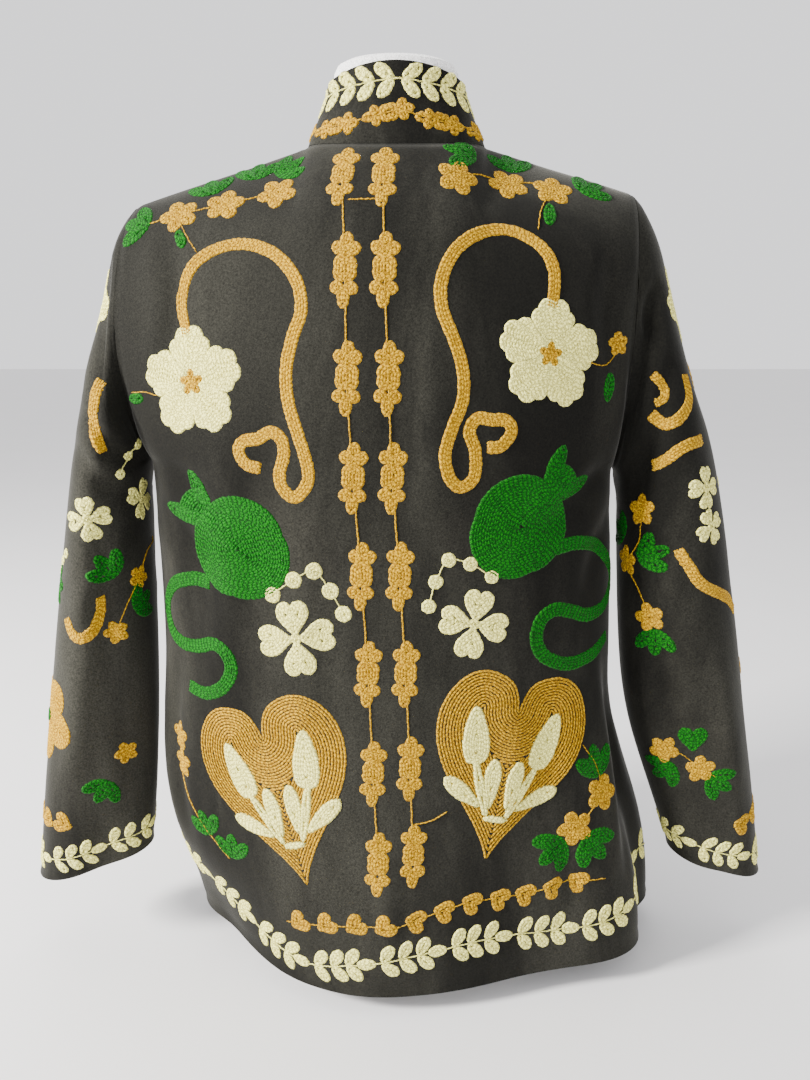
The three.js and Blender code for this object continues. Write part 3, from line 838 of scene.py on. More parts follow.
def chain_group():
    """Node group: the links of a chain-stitch row, along its own UV map, with painted shade between
    the links.
    """
    name = "Chain Links"
    if name in bpy.data.node_groups:
        return bpy.data.node_groups[name]
    group, inside, outside = new_group(name, ("Thread", "Gap"), ())
    uv = add(group, "ShaderNodeUVMap", uv_map="StitchUV")
    split = add(group, "ShaderNodeSeparateXYZ")
    centre = add(group, "ShaderNodeMath", operation="SUBTRACT")
    centre.inputs[1].default_value = 0.5
    off = add(group, "ShaderNodeMath", operation="ABSOLUTE")
    slant = add(group, "ShaderNodeMath", operation="MULTIPLY_ADD")
    slant.inputs[1].default_value = 0.9
    phase = add(group, "ShaderNodeMath", operation="FRACT")
    wave = add(group, "ShaderNodeMath", operation="PINGPONG")
    wave.inputs[1].default_value = 0.5
    body = smooth_range(group, From_Min=0.03, From_Max=0.26)
    place = add(group, "ShaderNodeTexCoord")
    fuzz = add(group, "ShaderNodeTexNoise", Scale=620.0, Detail=2.0, Roughness=0.6)
    fuzz_range = smooth_range(group, From_Min=0.36, From_Max=0.52)
    # Where the links dip, and in fine random specks, the colour turns to the painted shade.
    solid = add(group, "ShaderNodeMath", operation="MULTIPLY")
    mix = add(group, "ShaderNodeMix", data_type="RGBA")
    wire(
        group,
        (uv, "UV", split, "Vector"),
        (split, "Y", centre, 0),
        (centre, "Value", off, 0),
        (off, "Value", slant, 0),
        (split, "X", slant, 2),
        (slant, "Value", phase, 0),
        (phase, "Value", wave, 0),
        (wave, "Value", body, "Value"),
        (place, "Object", fuzz, "Vector"),
        (fuzz, "Fac", fuzz_range, "Value"),
        (body, "Result", solid, 0),
        (fuzz_range, "Result", solid, 1),
        (solid, "Value", mix, "Factor"),
        (inside, "Gap", mix, "A"),
        (inside, "Thread", mix, "B"),
        (mix, "Result", outside, "Color"),
        (solid, "Value", outside, "Height"),
    )
    return group


def velvet_material():
    """Charcoal cotton velvet: matt pile, soft brushed patches, a painted highlight and a pale sheen.
    """
    name = "charcoal_velvet"
    if name in bpy.data.materials:
        return bpy.data.materials[name]
    settings = bpy.context.scene.jacket_cloth
    material, tree, shader = new_material(name)
    # The pile group also paints a highlight round one place; the last value is how far it spreads.
    pile = add(
        tree, "ShaderNodeGroup", node_tree=pile_group(), Pile=settings.velvet,
        Brushed=settings.brushed, Patch_Scale=6.0, Pile_Scale=620.0, Worn_Reach=0.19,
    )
    bump = add(tree, "ShaderNodeBump", Strength=0.35, Distance=0.0006)
    wire(
        tree,
        (pile, "Color", shader, "Base Color"),
        (pile, "Height", bump, "Height"),
        (bump, "Normal", shader, "Normal"),
    )
    set_values(
        shader, Roughness=0.88, Specular_IOR_Level=0.1, Sheen_Weight=0.20,
        Sheen_Roughness=0.35, Sheen_Tint=(0.80, 0.79, 0.74, 1.0),
    )
    return material


def thread_material(thread):
    """Spun cotton thread in chain stitch, with painted shade between its links and a few dark random
    specks.
    """
    name = f"{thread}_chain_stitch"
    if name in bpy.data.materials:
        return bpy.data.materials[name]
    colour = tuple(getattr(bpy.context.scene.jacket_threads, thread))
    # Painted shade: a darker copy of the thread's colour for the gaps between links.
    gap = (*(part * shade for part, shade in zip(colour, PAINTED_LINK_SHADES[thread])), 1.0)
    material, tree, shader = new_material(name)
    chain = add(tree, "ShaderNodeGroup", node_tree=chain_group(), Thread=colour, Gap=gap)
    bump = add(tree, "ShaderNodeBump", Strength=0.7, Distance=0.0007)
    wire(
        tree,
        (chain, "Color", shader, "Base Color"),
        (chain, "Height", bump, "Height"),
        (bump, "Normal", shader, "Normal"),
    )
    set_values(shader, Roughness=0.72, Specular_IOR_Level=0.12, Sheen_Weight=0.03)
    return material


def form_material():
    """The dress form's stretched white jersey: fine rib, a faint mottling and a small painted
    highlight.
    """
    material, tree, shader = new_material("form_jersey")
    # The pile group paints its highlight here too, with a short reach.
    pile = add(
        tree, "ShaderNodeGroup", node_tree=pile_group(), Pile=(0.80, 0.79, 0.77, 1.0),
        Brushed=(0.86, 0.855, 0.84, 1.0), Patch_Scale=9.0, Pile_Scale=900.0, Worn_Reach=0.03,
    )
    place = add(tree, "ShaderNodeTexCoord")
    rib = add(tree, "ShaderNodeTexWave", Scale=420.0, Distortion=0.3, bands_direction="X")
    bump = add(tree, "ShaderNodeBump", Strength=0.12, Distance=0.0004)
    wire(
        tree,
        (place, "Object", rib, "Vector"),
        (rib, "Fac", bump, "Height"),
        (pile, "Color", shader, "Base Color"),
        (bump, "Normal", shader, "Normal"),
    )
    set_values(shader, Roughness=0.62, Sheen_Weight=0.1)
    return material


def floor_material():
    """A plain pale studio floor."""
    material, tree, shader = new_material("studio_floor")
    place = add(tree, "ShaderNodeTexCoord")
    noise = add(tree, "ShaderNodeTexNoise", Scale=3.0, Detail=3.0)
    mix = add(tree, "ShaderNodeMix", data_type="RGBA")
    set_values(mix, A=(0.74, 0.73, 0.73, 1.0), B=(0.78, 0.77, 0.77, 1.0))
    wire(
        tree,
        (place, "Object", noise, "Vector"),
        (noise, "Fac", mix, "Factor"),
        (mix, "Result", shader, "Base Color"),
    )
    set_values(shader, Roughness=0.9)
    return material


# ---------------------------------------------------------------- cloth


def select_only(obj):
    """Makes one object the only selected and active one."""
    bpy.ops.object.select_all(action="DESELECT")
    obj.select_set(True)
    bpy.context.view_layer.objects.active = obj


def apply_modifier(obj, kind, **values):
    """Adds a modifier, sets it and applies it."""
    select_only(obj)
    modifier = obj.modifiers.new(kind.title(), kind)
    for key, value in values.items():
        setattr(modifier, key, value)
    bpy.ops.object.modifier_apply(modifier=modifier.name)


def outer_layer(piece):
    """A copy of a garment piece that keeps only the layer of cloth on its outside."""
    select_only(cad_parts[piece])
    bpy.ops.object.duplicate()
    obj = bpy.context.view_layer.objects.active
    obj.name = f"velvet_{piece}"
    obj.data.name = obj.name
    obj.data.materials.clear()
    mesh = bmesh.new()
    mesh.from_mesh(obj.data)
    bmesh.ops.remove_doubles(mesh, verts=mesh.verts, dist=0.02 * MM)
    waiting = set(mesh.faces)
    largest = (0.0, set())
    while waiting:
        side = {waiting.pop()}
        edge = list(side)
        while edge:
            for joint in edge.pop().edges:
                if len(joint.link_faces) == 2 and joint.calc_face_angle(0) < math.radians(35):
                    fresh = set(joint.link_faces) & waiting
                    waiting -= fresh
                    side |= fresh
                    edge += fresh
        area = sum(face.calc_area() for face in side)
        largest = max(largest, (area, side), key=lambda found: found[0])
    others = [face for face in mesh.faces if face not in largest[1]]
    bmesh.ops.delete(mesh, geom=others, context="FACES")
    mesh.to_mesh(obj.data)
    mesh.free()
    return obj


def soften(obj, levels):
    """Turns the layer's triangles to quads, relaxes the armhole's level and rounds the form."""
    select_only(obj)
    bpy.ops.object.mode_set(mode="EDIT")
    bpy.ops.mesh.select_all(action="SELECT")
    bpy.ops.mesh.tris_convert_to_quads(
        face_threshold=math.radians(60), shape_threshold=math.radians(80)
    )
    bpy.ops.mesh.select_all(action="DESELECT")
    mesh = bmesh.from_edit_mesh(obj.data)
    sharp = mesh.verts.layers.float.new("crease_vert")
    for vertex in mesh.verts:
        open_edges = [edge for edge in vertex.link_edges if edge.is_boundary]
        rim = [edge.other_vert(vertex).co - vertex.co for edge in open_edges]
        if len(rim) == 2 and rim[0].angle(rim[1]) < math.radians(140):
            vertex[sharp] = 1.0
        near_armhole = abs(vertex.co.z - ARMHOLE_LEVEL) < ARMHOLE_REACH
        vertex.select = near_armhole and not vertex.is_boundary
    mesh.select_flush(False)
    bmesh.update_edit_mesh(obj.data)
    bpy.ops.mesh.vertices_smooth(factor=0.5, repeat=8)
    bpy.ops.object.mode_set(mode="OBJECT")
    apply_modifier(
        obj, "SUBSURF", levels=levels, render_levels=levels, boundary_smooth="PRESERVE_CORNERS"
    )


def rim_of(obj):
    """The number and place of each vertex on the edge of a layer of cloth."""
    mesh = bmesh.new()
    mesh.from_mesh(obj.data)
    rim = {vertex.index: vertex.co.copy() for vertex in mesh.verts if vertex.is_boundary}
    mesh.free()
    return rim


def tree_of(points):
    """A search tree over points."""
    tree = KDTree(len(points))
    for number, point in enumerate(points):
        tree.insert(point, number)
    tree.balance()
    return tree


def crease_depths(points, normals, creases):
    """How far each point is pushed in by the creases it lies on."""
    total = np.zeros(len(points))
    for azimuth, stops, width, depth in creases:
        right, outward = view_axes(azimuth)
        seen = np.column_stack([points @ right, points[:, 2]]) / MM
        line = even_steps(curve_through(stops), 6.0)
        forward = np.gradient(line, axis=0)
        forward /= np.linalg.norm(forward, axis=1)[:, None]
        apart = seen[:, None] - line[None]
        nearest = np.linalg.norm(apart, axis=2).argmin(axis=1)
        gap = apart[np.arange(len(points)), nearest]
        ahead = forward[nearest]
        beside = (gap[:, 0] * ahead[:, 1] - gap[:, 1] * ahead[:, 0]) / width
        beyond = (gap[:, 0] * ahead[:, 0] + gap[:, 1] * ahead[:, 1]) / width
        valley = np.exp(-(beside**2)) - RIDGE_SHARE * np.exp(-((beside - RIDGE_PLACE) ** 2))
        ends = np.sin(math.pi * (nearest + 0.5) / len(line)) ** 0.8 * np.exp(-(beyond**2))
        facing = np.clip(normals @ outward * 2.5, 0, 1)
        total += depth * valley * ends * facing
    return total * MM


def shape_cloth(obj, creases, edges, settings):
    """Presses creases, hollow seams and turned hems into a layer of cloth."""
    mesh = obj.data
    count = len(mesh.vertices)
    points = np.empty(count * 3)
    normals = np.empty(count * 3)
    mesh.vertices.foreach_get("co", points)
    mesh.vertex_normals.foreach_get("vector", normals)
    points = points.reshape(-1, 3)
    normals = normals.reshape(-1, 3)
    push = crease_depths(points, normals, creases)
    seams, hems = edges
    for number, point in enumerate(points):
        if seams:
            gap = seams.find(point)[2] / settings.seam_width
            push[number] *= 1 - math.exp(-((gap / SEAM_CALM) ** 2))
            push[number] += settings.seam_depth * math.exp(-(gap**2))
        if hems:
            gap = hems.find(point)[2] / settings.hem_width
            push[number] -= HEM_RISE * math.exp(-((gap / 0.55) ** 4))
            push[number] += HEM_DIP * math.exp(-(((gap - 1) / 0.25) ** 2))
    mesh.vertices.foreach_set("co", (points - normals * push[:, None]).ravel())
    mesh.update()


def join_seams(layers, rims):
    """Gives both sides of a seam that would open the mean of their moves."""
    moves = {}
    for piece, rim in rims.items():
        vertices = layers[piece].data.vertices
        moves[piece] = {number: vertices[number].co - place for number, place in rim.items()}
    for piece, rim in rims.items():
        others = [(name, number) for name in rims if name != piece for number in rims[name]]
        tree = tree_of([rims[name][number] for name, number in others])
        for number, place in rim.items():
            _, found, gap = tree.find(place)
            name, partner = others[found]
            own, other = moves[piece][number], moves[name][partner]
            opened = (place + own - rims[name][partner] - other).length - gap
            if gap < SEAM_REACH and opened > SEAM_SLACK:
                layers[piece].data.vertices[number].co = place + (own + other) / 2


class JACKET_OT_cloth(bpy.types.Operator):
    """Make the velvet shell of every garment piece"""

    bl_idname = "jacket.cloth"
    bl_label = "Velvet Pieces"

    def execute(self, context):
        settings = context.scene.jacket_cloth
        layers = {piece: outer_layer(piece) for piece in CUTS}
        for layer in layers.values():
            soften(layer, settings.smoothness)
        rims = {piece: rim_of(layer) for piece, layer in layers.items()}
        for piece, layer in layers.items():
            near = [rims[name] for name in rims if name != piece]
            others = tree_of([point for rim in near for point in rim.values()])
            edge = list(rims[piece].values())
            sewn = [point for point in edge if others.find(point)[2] < SEAM_REACH]
            loose = [point for point in edge if others.find(point)[2] >= SEAM_REACH]
            edges = (tree_of(sewn) if sewn else None, tree_of(loose) if loose else None)
            shape_cloth(layer, CREASES[piece], edges, settings)
        join_seams(layers, rims)
        for piece, layer in layers.items():
            layer["outside_faces"] = len(layer.data.polygons)
            apply_modifier(layer, "SOLIDIFY", thickness=settings.thickness, offset=-1.0)
            layer.data.materials.append(velvet_material())
            bpy.ops.object.shade_smooth_by_angle(angle=math.radians(55))
            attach(layer, "root")
            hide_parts(piece)
            if not layer.data.polygons:
                raise RuntimeError(f"{piece}: no cloth was left")
        return {"FINISHED"}


class JACKET_OT_form(bpy.types.Operator):
    """Cover the dress form in white jersey"""

    bl_idname = "jacket.form"
    bl_label = "Dress Form"

    def execute(self, context):
        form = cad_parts["dress_form"]
        form.data.materials.clear()
        form.data.materials.append(form_material())
        return {"FINISHED"}


# ---------------------------------------------------------------- embroidery


def from_side(azimuth, places):
    """Gives places (across, height) the side they are seen from."""
    return [(azimuth, *place) for place in places]


def ring(centre, places):
    """Stops round a tube: its centre (x, y) in mm and its (azimuth, height) stops."""
    stops = []
    for azimuth, height in curve_through(places, pieces=4):
        right, _ = view_axes(azimuth)
        stops.append((azimuth, centre[0] * right[0] + centre[1] * right[1], height))
    return stops


class JACKET_OT_sew_back(bpy.types.Operator):
    """Embroider the back: two link borders, scrolls, flowers, pomegranates, clovers and hearts"""

    bl_idname = "jacket.sew_back"
    bl_label = "Back Embroidery"

    def execute(self, context):
        sewing = Stitching("back", Skin(*BODY), seed=11)
        self.borders(sewing)
        self.upper_half(sewing)
        self.lower_half(sewing)
        self.hem(sewing)
        sewing.finish()
        return {"FINISHED"}

    def borders(self, sewing):
        """Two upright borders of gold links down the middle."""
        left = ((-46, 747), (-43, 669), (-42, 583), (-38, 501))
        left += ((-32, 416), (-27, 328), (-23, 236), (-19, 151))
        right = ((-12, 746), (-11, 669), (-8, 583), (-5, 501))
        right += ((1, 416), (6, 328), (10, 240), (13, 157))
        for column in (left, right):
            stops = from_side(0, column)
            sewing.line("gold", stops, width=STRONG)
            for stop in stops:
                sewing.motif(sewing.skin.spot(*stop, turn=-3), link_unit())
        sewing.line("gold", from_side(0, ((-41, 726), (-12, 726))), width=MEDIUM)
        sewing.line("gold", from_side(0, ((13, 188), (28, 190), (44, 198))), width=MEDIUM)

    def upper_half(self, sewing):
        """Scrolls with a cream flower each, and sprigs on the shoulders."""
        left_scroll = (
            (-178, 618), (-182, 647), (-173, 673), (-152, 688), (-126, 692), (-101, 683), (-83, 662),
            (-79, 638), (-86, 618), (-92, 592), (-91, 566), (-84, 540), (-77, 516), (-76, 499),
            (-87, 485), (-98, 493), (-100, 506), (-96, 520), (-97, 533), (-106, 540), (-118, 534),
            (-130, 532), (-135, 523), (-128, 512), (-116, 509),
        )
        right_scroll = (
            (128, 640), (129, 671), (117, 691), (92, 703), (67, 700), (46, 685), (35, 661), (36, 638),
            (46, 614), (53, 590), (53, 566), (44, 542), (39, 521), (43, 502), (53, 494), (64, 503),
            (64, 525), (59, 540), (65, 551), (78, 550), (90, 549), (95, 540), (86, 528), (74, 527),
        )
        sewing.line("gold", from_side(0, left_scroll), rows=4)
        sewing.line("gold", from_side(0, right_scroll), rows=4)
        sewing.motif(sewing.skin.spot(0, -175, 580, 4), cream_flower(47))
        sewing.motif(sewing.skin.spot(0, 127, 603, -6), cream_flower(46))
        sewing.line("gold", from_side(0, ((-208, 568), (-222, 571), (-236, 570))), width=FINE)
        sewing.line("gold", from_side(0, ((160, 597), (178, 594), (190, 606))), width=FINE)
        sewing.motif(sewing.skin.spot(-20, -190, 566, 96), long_leaf(9, 22))
        sewing.motif(sewing.skin.spot(0, 190, 612, 8), small_flower(10))
        sewing.motif(sewing.skin.spot(0, 184, 588, 170), long_leaf(11, 26))
        sewing.sprig(
            from_side(0, ((-187, 719), (-147, 727), (-102, 736))),
            ((0, -214, 710, 78), (0, -160, 737, 24), (0, -124, 750, 10), (0, -106, 754, -50)),
            from_side(0, ((-214, 712), (-187, 719), (-147, 727), (-102, 736))),
            radius=17,
            size=1.1,
        )
        sewing.sprig(
            from_side(0, ((49, 746), (93, 744), (132, 740))),
            ((0, 66, 766, 60), (0, 100, 756, 0), (0, 156, 740, -60)),
            from_side(0, ((49, 746), (70, 750), (93, 744), (112, 746), (132, 740))),
            radius=17,
            size=1.1,
        )
        sewing.line("gold", from_side(0, ((-187, 716), (-178, 700), (-168, 686))), width=FINE)
        sewing.line("gold", from_side(0, ((130, 738), (120, 722), (116, 704))), width=FINE)
        sewing.motif(sewing.skin.spot(0, -180, 690, 30), long_leaf(9, 20))
        sewing.motif(sewing.skin.spot(0, 126, 708, -10), long_leaf(10, 24))

    def lower_half(self, sewing):
        """Pomegranates with their tails, clovers with beads, and the two large hearts."""
        sewing.motif(sewing.skin.spot(0, -139, 438, 51), pomegranate(90))
        sewing.motif(sewing.skin.spot(0, 105, 457, -45), pomegranate(89))
        left_tail = (
            (-168, 404), (-188, 405), (-208, 396), (-218, 376), (-215, 352), (-202, 341), (-184, 342),
            (-168, 348), (-156, 342), (-151, 326), (-160, 308), (-178, 298), (-196, 301),
        )
        right_tail = (
            (138, 436), (160, 439), (182, 431), (198, 411), (202, 391), (193, 373), (174, 369),
            (156, 376), (140, 380), (127, 372), (123, 354), (132, 337), (154, 327), (180, 330),
            (198, 341),
        )
        sewing.line("green", from_side(0, left_tail), rows=5)
        sewing.line("green", from_side(0, right_tail), rows=5)
        sewing.motif(sewing.skin.spot(0, -90, 360, 8), clover(32))
        sewing.motif(sewing.skin.spot(0, 66, 373, -12), clover(29))
        sewing.beads(from_side(0, ((-110, 399), (-91, 413), (-73, 421), (-59, 403), (-48, 383))))
        sewing.beads(from_side(0, ((26, 390), (32, 412), (43, 431), (62, 427), (81, 415))), size=12)
        sewing.motif(sewing.skin.spot(0, -108, 209, 17), gold_heart(146, 186))
        sewing.motif(sewing.skin.spot(0, 97, 232, -12), gold_heart(146, 187))
        sewing.sprig(
            from_side(0, ((193, 196), (166, 167))),
            ((0, 190, 212, 10), (0, 156, 156, 130), (0, 176, 158, -140)),
            from_side(0, ((172, 246), (186, 224), (192, 196), (180, 180), (166, 167))),
            radius=17,
            size=1.2,
        )
        sewing.sprig(
            from_side(-35, ((-143, 244), (-140, 218))),
            ((-35, -108, 150, 20), (-35, -82, 132, 0)),
            from_side(-35, ((-143, 244), (-140, 200), (-112, 158), (-86, 130))),
        )

    def hem(self, sewing):
        """The heart border and the leaf vine above the hem."""
        left = ((-106, 83), (-63, 89), (-36, 90), (2, 92))
        right = ((2, 92), (30, 100), (61, 107), (86, 107))
        right += ((113, 107), (138, 110), (162, 113), (198, 113))
        sewing.heart_border(from_side(0, left), 34)
        sewing.heart_border(from_side(0, right), -34)
        vine = [(-70, -70, 112), (-45, -104, 98), (-20, -112, 68)]
        vine += from_side(0, ((-93, 45), (-43, 51), (16, 61), (77, 68), (139, 66), (196, 68)))
        vine += [(30, 188, 84), (60, 118, 96), (88, 20, 88)]
        sewing.vine(vine)


class JACKET_OT_sew_fronts(bpy.types.Operator):
    """Embroider the fronts: edge borders, scrolls, flowers, pomegranates and hearts"""

    bl_idname = "jacket.sew_fronts"
    bl_label = "Front Embroidery"

    def execute(self, context):
        skin = Skin(*BODY)
        for piece, side, seed in (("front_left", 1, 21), ("front_right", -1, 31)):
            sewing = Stitching(piece, skin, seed)
            self.borders(sewing, side)
            self.motifs(sewing, side)
            sewing.finish()
        return {"FINISHED"}

    def borders(self, sewing, side):
        """A leaf vine and a link border beside the front edge, and along the hem."""

        def places(*pairs):
            return [(180, FRONT_CENTRE + side * across, height) for across, height in pairs]

        edge = places((36, 712), (32, 680), (31, 600), (34, 450), (37, 300), (40, 150), (44, 72))
        sewing.vine(edge)
        sewing.chain_border(places((76, 690), (62, 600), (64, 450), (68, 300), (72, 124)))
        sewing.vine(places((58, 62), (110, 62), (160, 66), (205, 74)))
        sewing.heart_border(places((96, 98), (140, 101), (200, 108)), side * -34)

    def motifs(self, sewing, side):
        """A scroll and flower, a pomegranate, a clover and a small heart on each front."""

        def places(*pairs):
            return [(180, side * across, height) for across, height in pairs]

        def spot(across, height, turn=0):
            return sewing.skin.spot(180, side * across, height, side * turn)

        scroll = places(
            (196, 600), (198, 640), (186, 676), (158, 690), (130, 678), (116, 648),
            (120, 612), (128, 580), (124, 548), (112, 530), (100, 540), (104, 556),
        )
        sewing.line("gold", scroll, rows=4)
        sewing.motif(spot(181 + 9 * side, 566), cream_flower(32))
        leaves = ((130, 738, 10), (172, 732, -side * 20), (92, 708, side * 60))
        sewing.sprig(
            places((112, 722), (150, 722), (188, 712)),
            [(180, side * across, height, turn) for across, height, turn in leaves],
            places((92, 712), (112, 722), (150, 722), (188, 712)),
            radius=12,
        )
        sewing.motif(spot(160, 440, -30), pomegranate(78))
        tail = places(
            (172, 402), (188, 396), (196, 378), (188, 360), (172, 360),
            (156, 364), (145, 350), (148, 332), (166, 326),
        )
        sewing.line("green", tail, rows=4)
        sewing.motif(spot(112, 372, 15), clover(25))
        sewing.beads(places((104, 408), (118, 420), (134, 412)), size=11)
        sewing.motif(spot(142, 216, -8), gold_heart(100, 136))
        sewing.motif(spot(196, 300, 20), small_flower(12))
        sewing.motif(spot(204, 286, -60), leaf_spray(0.8))


class JACKET_OT_sew_sleeves(bpy.types.Operator):
    """Embroider both sleeves, all round"""

    bl_idname = "jacket.sew_sleeves"
    bl_label = "Sleeve Embroidery"

    def execute(self, context):
        left = Stitching("sleeve_left", Skin("sleeve_left"), seed=41)
        self.left_back(left)
        self.left_sides(left)
        left.finish()
        right = Stitching("sleeve_right", Skin("sleeve_right"), seed=51)
        self.right_back(right)
        self.right_sides(right)
        right.finish()
        return {"FINISHED"}

    def left_back(self, sewing):
        """What shows from behind on the left sleeve."""
        spot = sewing.skin.spot
        scroll = ((-261, 581), (-266, 572), (-269, 557), (-269, 541), (-266, 528), (-262, 518))
        sewing.line("gold", from_side(0, scroll), rows=4)
        sewing.motif(spot(0, -280, 458, 10), clover(19))
        sewing.beads(from_side(-15, ((-284, 424), (-292, 416), (-300, 404))), size=9)
        sewing.motif(spot(0, -243, 470, -20), clover(18))
        sewing.beads(from_side(0, ((-252, 497), (-248, 512), (-240, 522))), size=9)
        arc = ((-309, 364), (-304, 351), (-295, 346), (-285, 351), (-280, 364), (-277, 384))
        sewing.line("gold", from_side(0, arc), rows=4)
        sewing.sprig(
            from_side(0, ((-247, 397), (-266, 348), (-268, 222))),
            ((0, -262, 402, 40), (0, -250, 366, -60), (0, -284, 196, 150)),
            from_side(0, ((-240, 430), (-247, 397), (-256, 372), (-266, 348))),
            radius=11,
        )
        sewing.motif(spot(-50, -196, 258, 36), petal_flower(44), wrapped=True)

    def left_sides(self, sewing):
        """The outer and front sides and the cuff of the left sleeve."""
        spot = sewing.skin.spot
        sewing.motif(spot(-90, -4, 646, -20), cream_flower(38))
        scroll = ((-4, 598), (13, 590), (14, 573), (-2, 564), (-14, 552), (-8, 534), (8, 528))
        sewing.line("gold", from_side(-90, scroll), rows=4)
        sewing.motif(spot(-90, 0, 482), cream_flower(24))
        sewing.sprig(
            from_side(-90, ((-16, 420), (10, 396))),
            ((-90, 2, 430, 0), (-90, 22, 392, -90), (-90, -12, 388, 150)),
            from_side(-90, ((-16, 420), (-2, 412), (10, 396))),
            radius=11,
        )
        scroll = ((257, 642), (265, 627), (264, 608), (258, 592), (261, 574), (272, 562))
        sewing.line("gold", from_side(180, scroll), rows=4)
        sewing.motif(spot(180, 268, 510), cream_flower(24))
        sewing.motif(spot(180, 276, 424, 10), clover(20))
        sewing.beads(from_side(180, ((262, 462), (276, 470), (290, 462))), size=9)
        sewing.motif(spot(180, 292, 330, 0), petal_flower(26))
        sewing.sprig(
            from_side(180, ((284, 254), (310, 226))),
            ((180, 300, 258, -30), (180, 290, 216, 150)),
            from_side(180, ((284, 254), (300, 244), (310, 226))),
            radius=11,
        )
        round_cuff = [(-8, 152), (-90, 150), (-180, 152)]
        sewing.heart_border(ring((314, 0), round_cuff), -30, pitch=20)
        heights = (106, 108, 116, 128, 134, 128, 116, 108, 106)
        low = [(45 * number - 90, height) for number, height in enumerate(heights)]
        sewing.vine(ring((316, 0), low), pitch=15, width=9, length=18)

    def right_back(self, sewing):
        """What shows from behind on the right sleeve."""
        spot = sewing.skin.spot
        curl = ((222, 586), (232, 577), (234, 566), (226, 560))
        sewing.line("gold", from_side(0, curl), rows=3)
        hook = ((254, 586), (258, 566), (250, 551), (235, 543), (223, 552))
        sewing.line("gold", from_side(0, hook), rows=4)
        sewing.line("gold", from_side(0, ((272, 529), (250, 522), (230, 504))), rows=4)
        sewing.motif(spot(30, 214, 486, 0), clover(18))
        sewing.motif(spot(30, 220, 450, 30), clover(16))
        band = ((30, 192, 430), (30, 200, 413), (30, 211, 397), (35, 227, 380), (40, 226, 364))
        sewing.line("gold", band, rows=4)
        sewing.sprig(
            from_side(0, ((223, 463), (216, 412), (236, 361))),
            ((0, 214, 432, 60), (0, 242, 350, 180), (0, 222, 418, -60)),
            from_side(0, ((223, 463), (224, 436), (216, 412), (226, 386), (236, 361))),
            radius=14,
        )
        sewing.motif(spot(0, 284, 238, 4), {"green": filled(heart(27, 28))})
        sewing.sprig(
            from_side(0, ((258, 226), (294, 208))),
            ((0, 268, 212, 140), (0, 302, 200, -120)),
            from_side(0, ((258, 226), (276, 222), (294, 208), (310, 200))),
            radius=14,
        )

    def right_sides(self, sewing):
        """The outer and front sides and the cuff of the right sleeve."""
        spot = sewing.skin.spot
        sewing.motif(spot(90, 4, 646, 20), cream_flower(38))
        scroll = ((4, 598), (-13, 590), (-14, 573), (2, 564), (14, 552), (8, 534), (-8, 528))
        sewing.line("gold", from_side(90, scroll), rows=4)
        sewing.motif(spot(90, 0, 482), cream_flower(24))
        sewing.motif(spot(90, 0, 300), petal_flower(28))
        scroll = ((-226, 640), (-238, 626), (-236, 606), (-224, 594), (-223, 573), (-236, 561))
        sewing.line("gold", from_side(180, scroll), rows=4)
        sewing.motif(spot(180, -240, 508), cream_flower(24))
        sewing.motif(spot(180, -250, 420, -10), clover(20))
        sewing.beads(from_side(180, ((-262, 458), (-250, 466), (-236, 458))), size=9)
        sewing.motif(spot(180, -276, 322, 0), petal_flower(26))
        sewing.sprig(
            from_side(180, ((-284, 246), (-310, 218))),
            ((180, -300, 250, 30), (180, -290, 208, 150)),
            from_side(180, ((-284, 246), (-300, 236), (-310, 218))),
            radius=11,
        )
        round_cuff = [(16, 144), (50, 152), (90, 160), (180, 154)]
        sewing.heart_border(ring((-318, 0), round_cuff), -30, pitch=20)
        heights = (130, 126, 114, 108, 106, 108, 114, 126, 130)
        low = [(45 * number - 90, height) for number, height in enumerate(heights)]
        sewing.vine(ring((-322, 0), low), pitch=15, width=9, length=18)


class JACKET_OT_sew_collar(bpy.types.Operator):
    """Embroider the stand collar: a leaf vine above and a link border at its base"""

    bl_idname = "jacket.sew_collar"
    bl_label = "Collar Embroidery"

    def execute(self, context):
        sewing = Stitching("collar", Skin("collar"), seed=61)
        neck = (0, -10)
        upper = ((-4, 827), (40, 823), (75, 818), (100, 812), (120, 801), (148, 786))
        for side in (-1, 1):
            top = [(side * azimuth, height) for azimuth, height in upper]
            sewing.vine(ring(neck, top), pitch=17, group=8, width=9, length=20, spread=38)
        lower = ((0, 801), (30, 796), (60, 792), (90, 792), (105, 784), (120, 770), (142, 754))
        base = [(-azimuth, height) for azimuth, height in lower[:0:-1]] + list(lower)
        sewing.chain_border(ring(neck, base), pitch=48, size=0.74, width=MEDIUM)
        sewing.finish()
        return {"FINISHED"}


class JACKET_OT_cuts(bpy.types.Operator):
    """An empty step: it leaves the scene as it is"""

    bl_idname = "jacket.cuts"
    bl_label = "Cloth Cuts"

    def execute(self, context):
        return {"FINISHED"}


# ---------------------------------------------------------------- stage


FLOOR_SIZE = 60.0
FLOOR_LEVEL = -0.0005
DAYLIGHT = (0.90, 0.90, 0.92, 1.0)
DAYLIGHT_STRENGTH = 1.55
# Each lamp's name, place, aim, size, power and colour.
LAMPS = (
    ("key", (2.2, 0.9, 1.5), (0, 0, 0.45), 0.5, 230, (1.0, 0.98, 0.94)),
    ("fill", (-1.8, 1.8, 1.1), (0, 0, 0.45), 1.6, 8, (0.96, 0.98, 1.0)),
    ("top", (0.2, -0.6, 2.2), (0, 0, 0.6), 1.6, 16, (1.0, 1.0, 1.0)),
)
CAMERA_PLACE = (-0.0055, 0.7918, 0.605)
CAMERA_TURN = (math.radians(77.24), 0, math.radians(180))
CAMERA_LENS = 27.67
CAMERA_SENSOR = 36


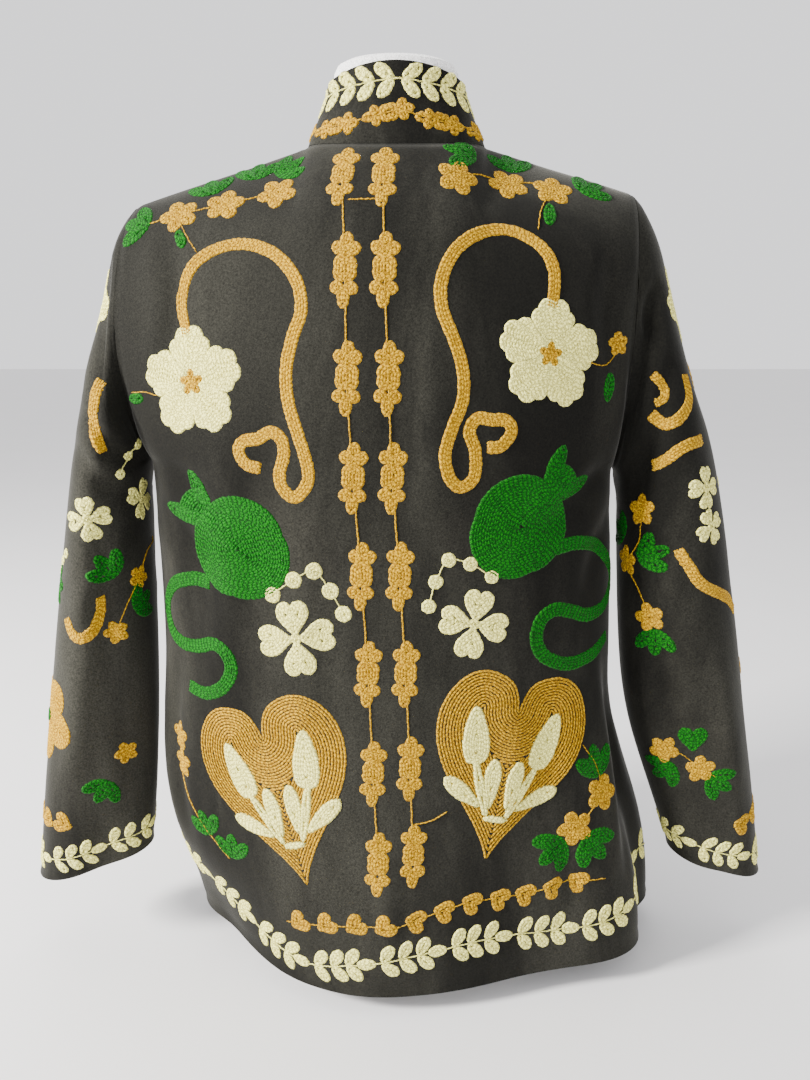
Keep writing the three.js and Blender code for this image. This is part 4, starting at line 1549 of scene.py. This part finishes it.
def soft_light(name, place, target, size, power, colour):
    """A large soft lamp that faces a point."""
    bpy.ops.object.light_add(type="AREA", location=place)
    lamp = bpy.context.object
    lamp.name = name
    lamp.data.energy = power
    lamp.data.size = size
    lamp.data.color = colour
    lamp.rotation_euler = (Vector(target) - Vector(place)).to_track_quat("-Z", "Y").to_euler()


class JACKET_OT_stage(bpy.types.Operator):
    """Set the floor, soft lights and the camera behind the jacket"""

    bl_idname = "jacket.stage"
    bl_label = "Studio"

    def execute(self, context):
        bpy.ops.object.select_all(action="DESELECT")
        bpy.ops.mesh.primitive_plane_add(size=FLOOR_SIZE, location=(0, 0, FLOOR_LEVEL))
        bpy.ops.object.transform_apply(location=True, rotation=True, scale=True)
        floor = bpy.context.object
        floor.name = "studio_floor"
        floor.data.materials.append(floor_material())
        world = bpy.data.worlds.new("studio")
        world.use_nodes = True
        background = world.node_tree.nodes["Background"]
        background.inputs["Color"].default_value = DAYLIGHT
        background.inputs["Strength"].default_value = DAYLIGHT_STRENGTH
        context.scene.world = world
        for lamp in LAMPS:
            soft_light(*lamp)
        bpy.ops.object.camera_add(location=CAMERA_PLACE, rotation=CAMERA_TURN)
        camera = bpy.context.object
        camera.data.lens = CAMERA_LENS
        camera.data.sensor_width = CAMERA_SENSOR
        camera.data.sensor_fit = "VERTICAL"
        camera.data.sensor_height = CAMERA_SENSOR
        context.scene.camera = camera
        return {"FINISHED"}


class JACKET_PT_panel(bpy.types.Panel):
    """Steps that build the jacket"""

    bl_idname = "JACKET_PT_panel"
    bl_label = "Embroidered Jacket"
    bl_space_type = "VIEW_3D"
    bl_region_type = "UI"
    bl_category = "Jacket"

    def draw(self, context):
        layout = self.layout
        for group in (context.scene.jacket_cloth, context.scene.jacket_threads):
            for name in group.bl_rna.properties.keys():
                if name not in ("rna_type", "name"):
                    layout.prop(group, name)
        for step in STEPS:
            layout.operator(step.bl_idname)


STEPS = (
    JACKET_OT_cloth,
    JACKET_OT_form,
    JACKET_OT_sew_back,
    JACKET_OT_sew_fronts,
    JACKET_OT_sew_sleeves,
    JACKET_OT_sew_collar,
    JACKET_OT_cuts,
    JACKET_OT_stage,
)
CLASSES = (JacketClothSettings, JacketThreadSettings, *STEPS, JACKET_PT_panel)


def register():
    """Registers the settings, the steps and the panel."""
    for cls in CLASSES:
        bpy.utils.register_class(cls)
    bpy.types.Scene.jacket_cloth = bpy.props.PointerProperty(type=JacketClothSettings)
    bpy.types.Scene.jacket_threads = bpy.props.PointerProperty(type=JacketThreadSettings)


def unregister():
    """Takes the settings, the steps and the panel away again."""
    del bpy.types.Scene.jacket_threads
    del bpy.types.Scene.jacket_cloth
    for cls in reversed(CLASSES):
        bpy.utils.unregister_class(cls)


def main():
    """Builds the whole jacket."""
    register()
    bpy.ops.jacket.cloth()
    bpy.ops.jacket.form()
    bpy.ops.jacket.sew_back()
    bpy.ops.jacket.sew_fronts()
    bpy.ops.jacket.sew_sleeves()
    bpy.ops.jacket.sew_collar()
    bpy.ops.jacket.cuts()
    bpy.ops.jacket.stage()


if __name__ == "__main__":
    main()
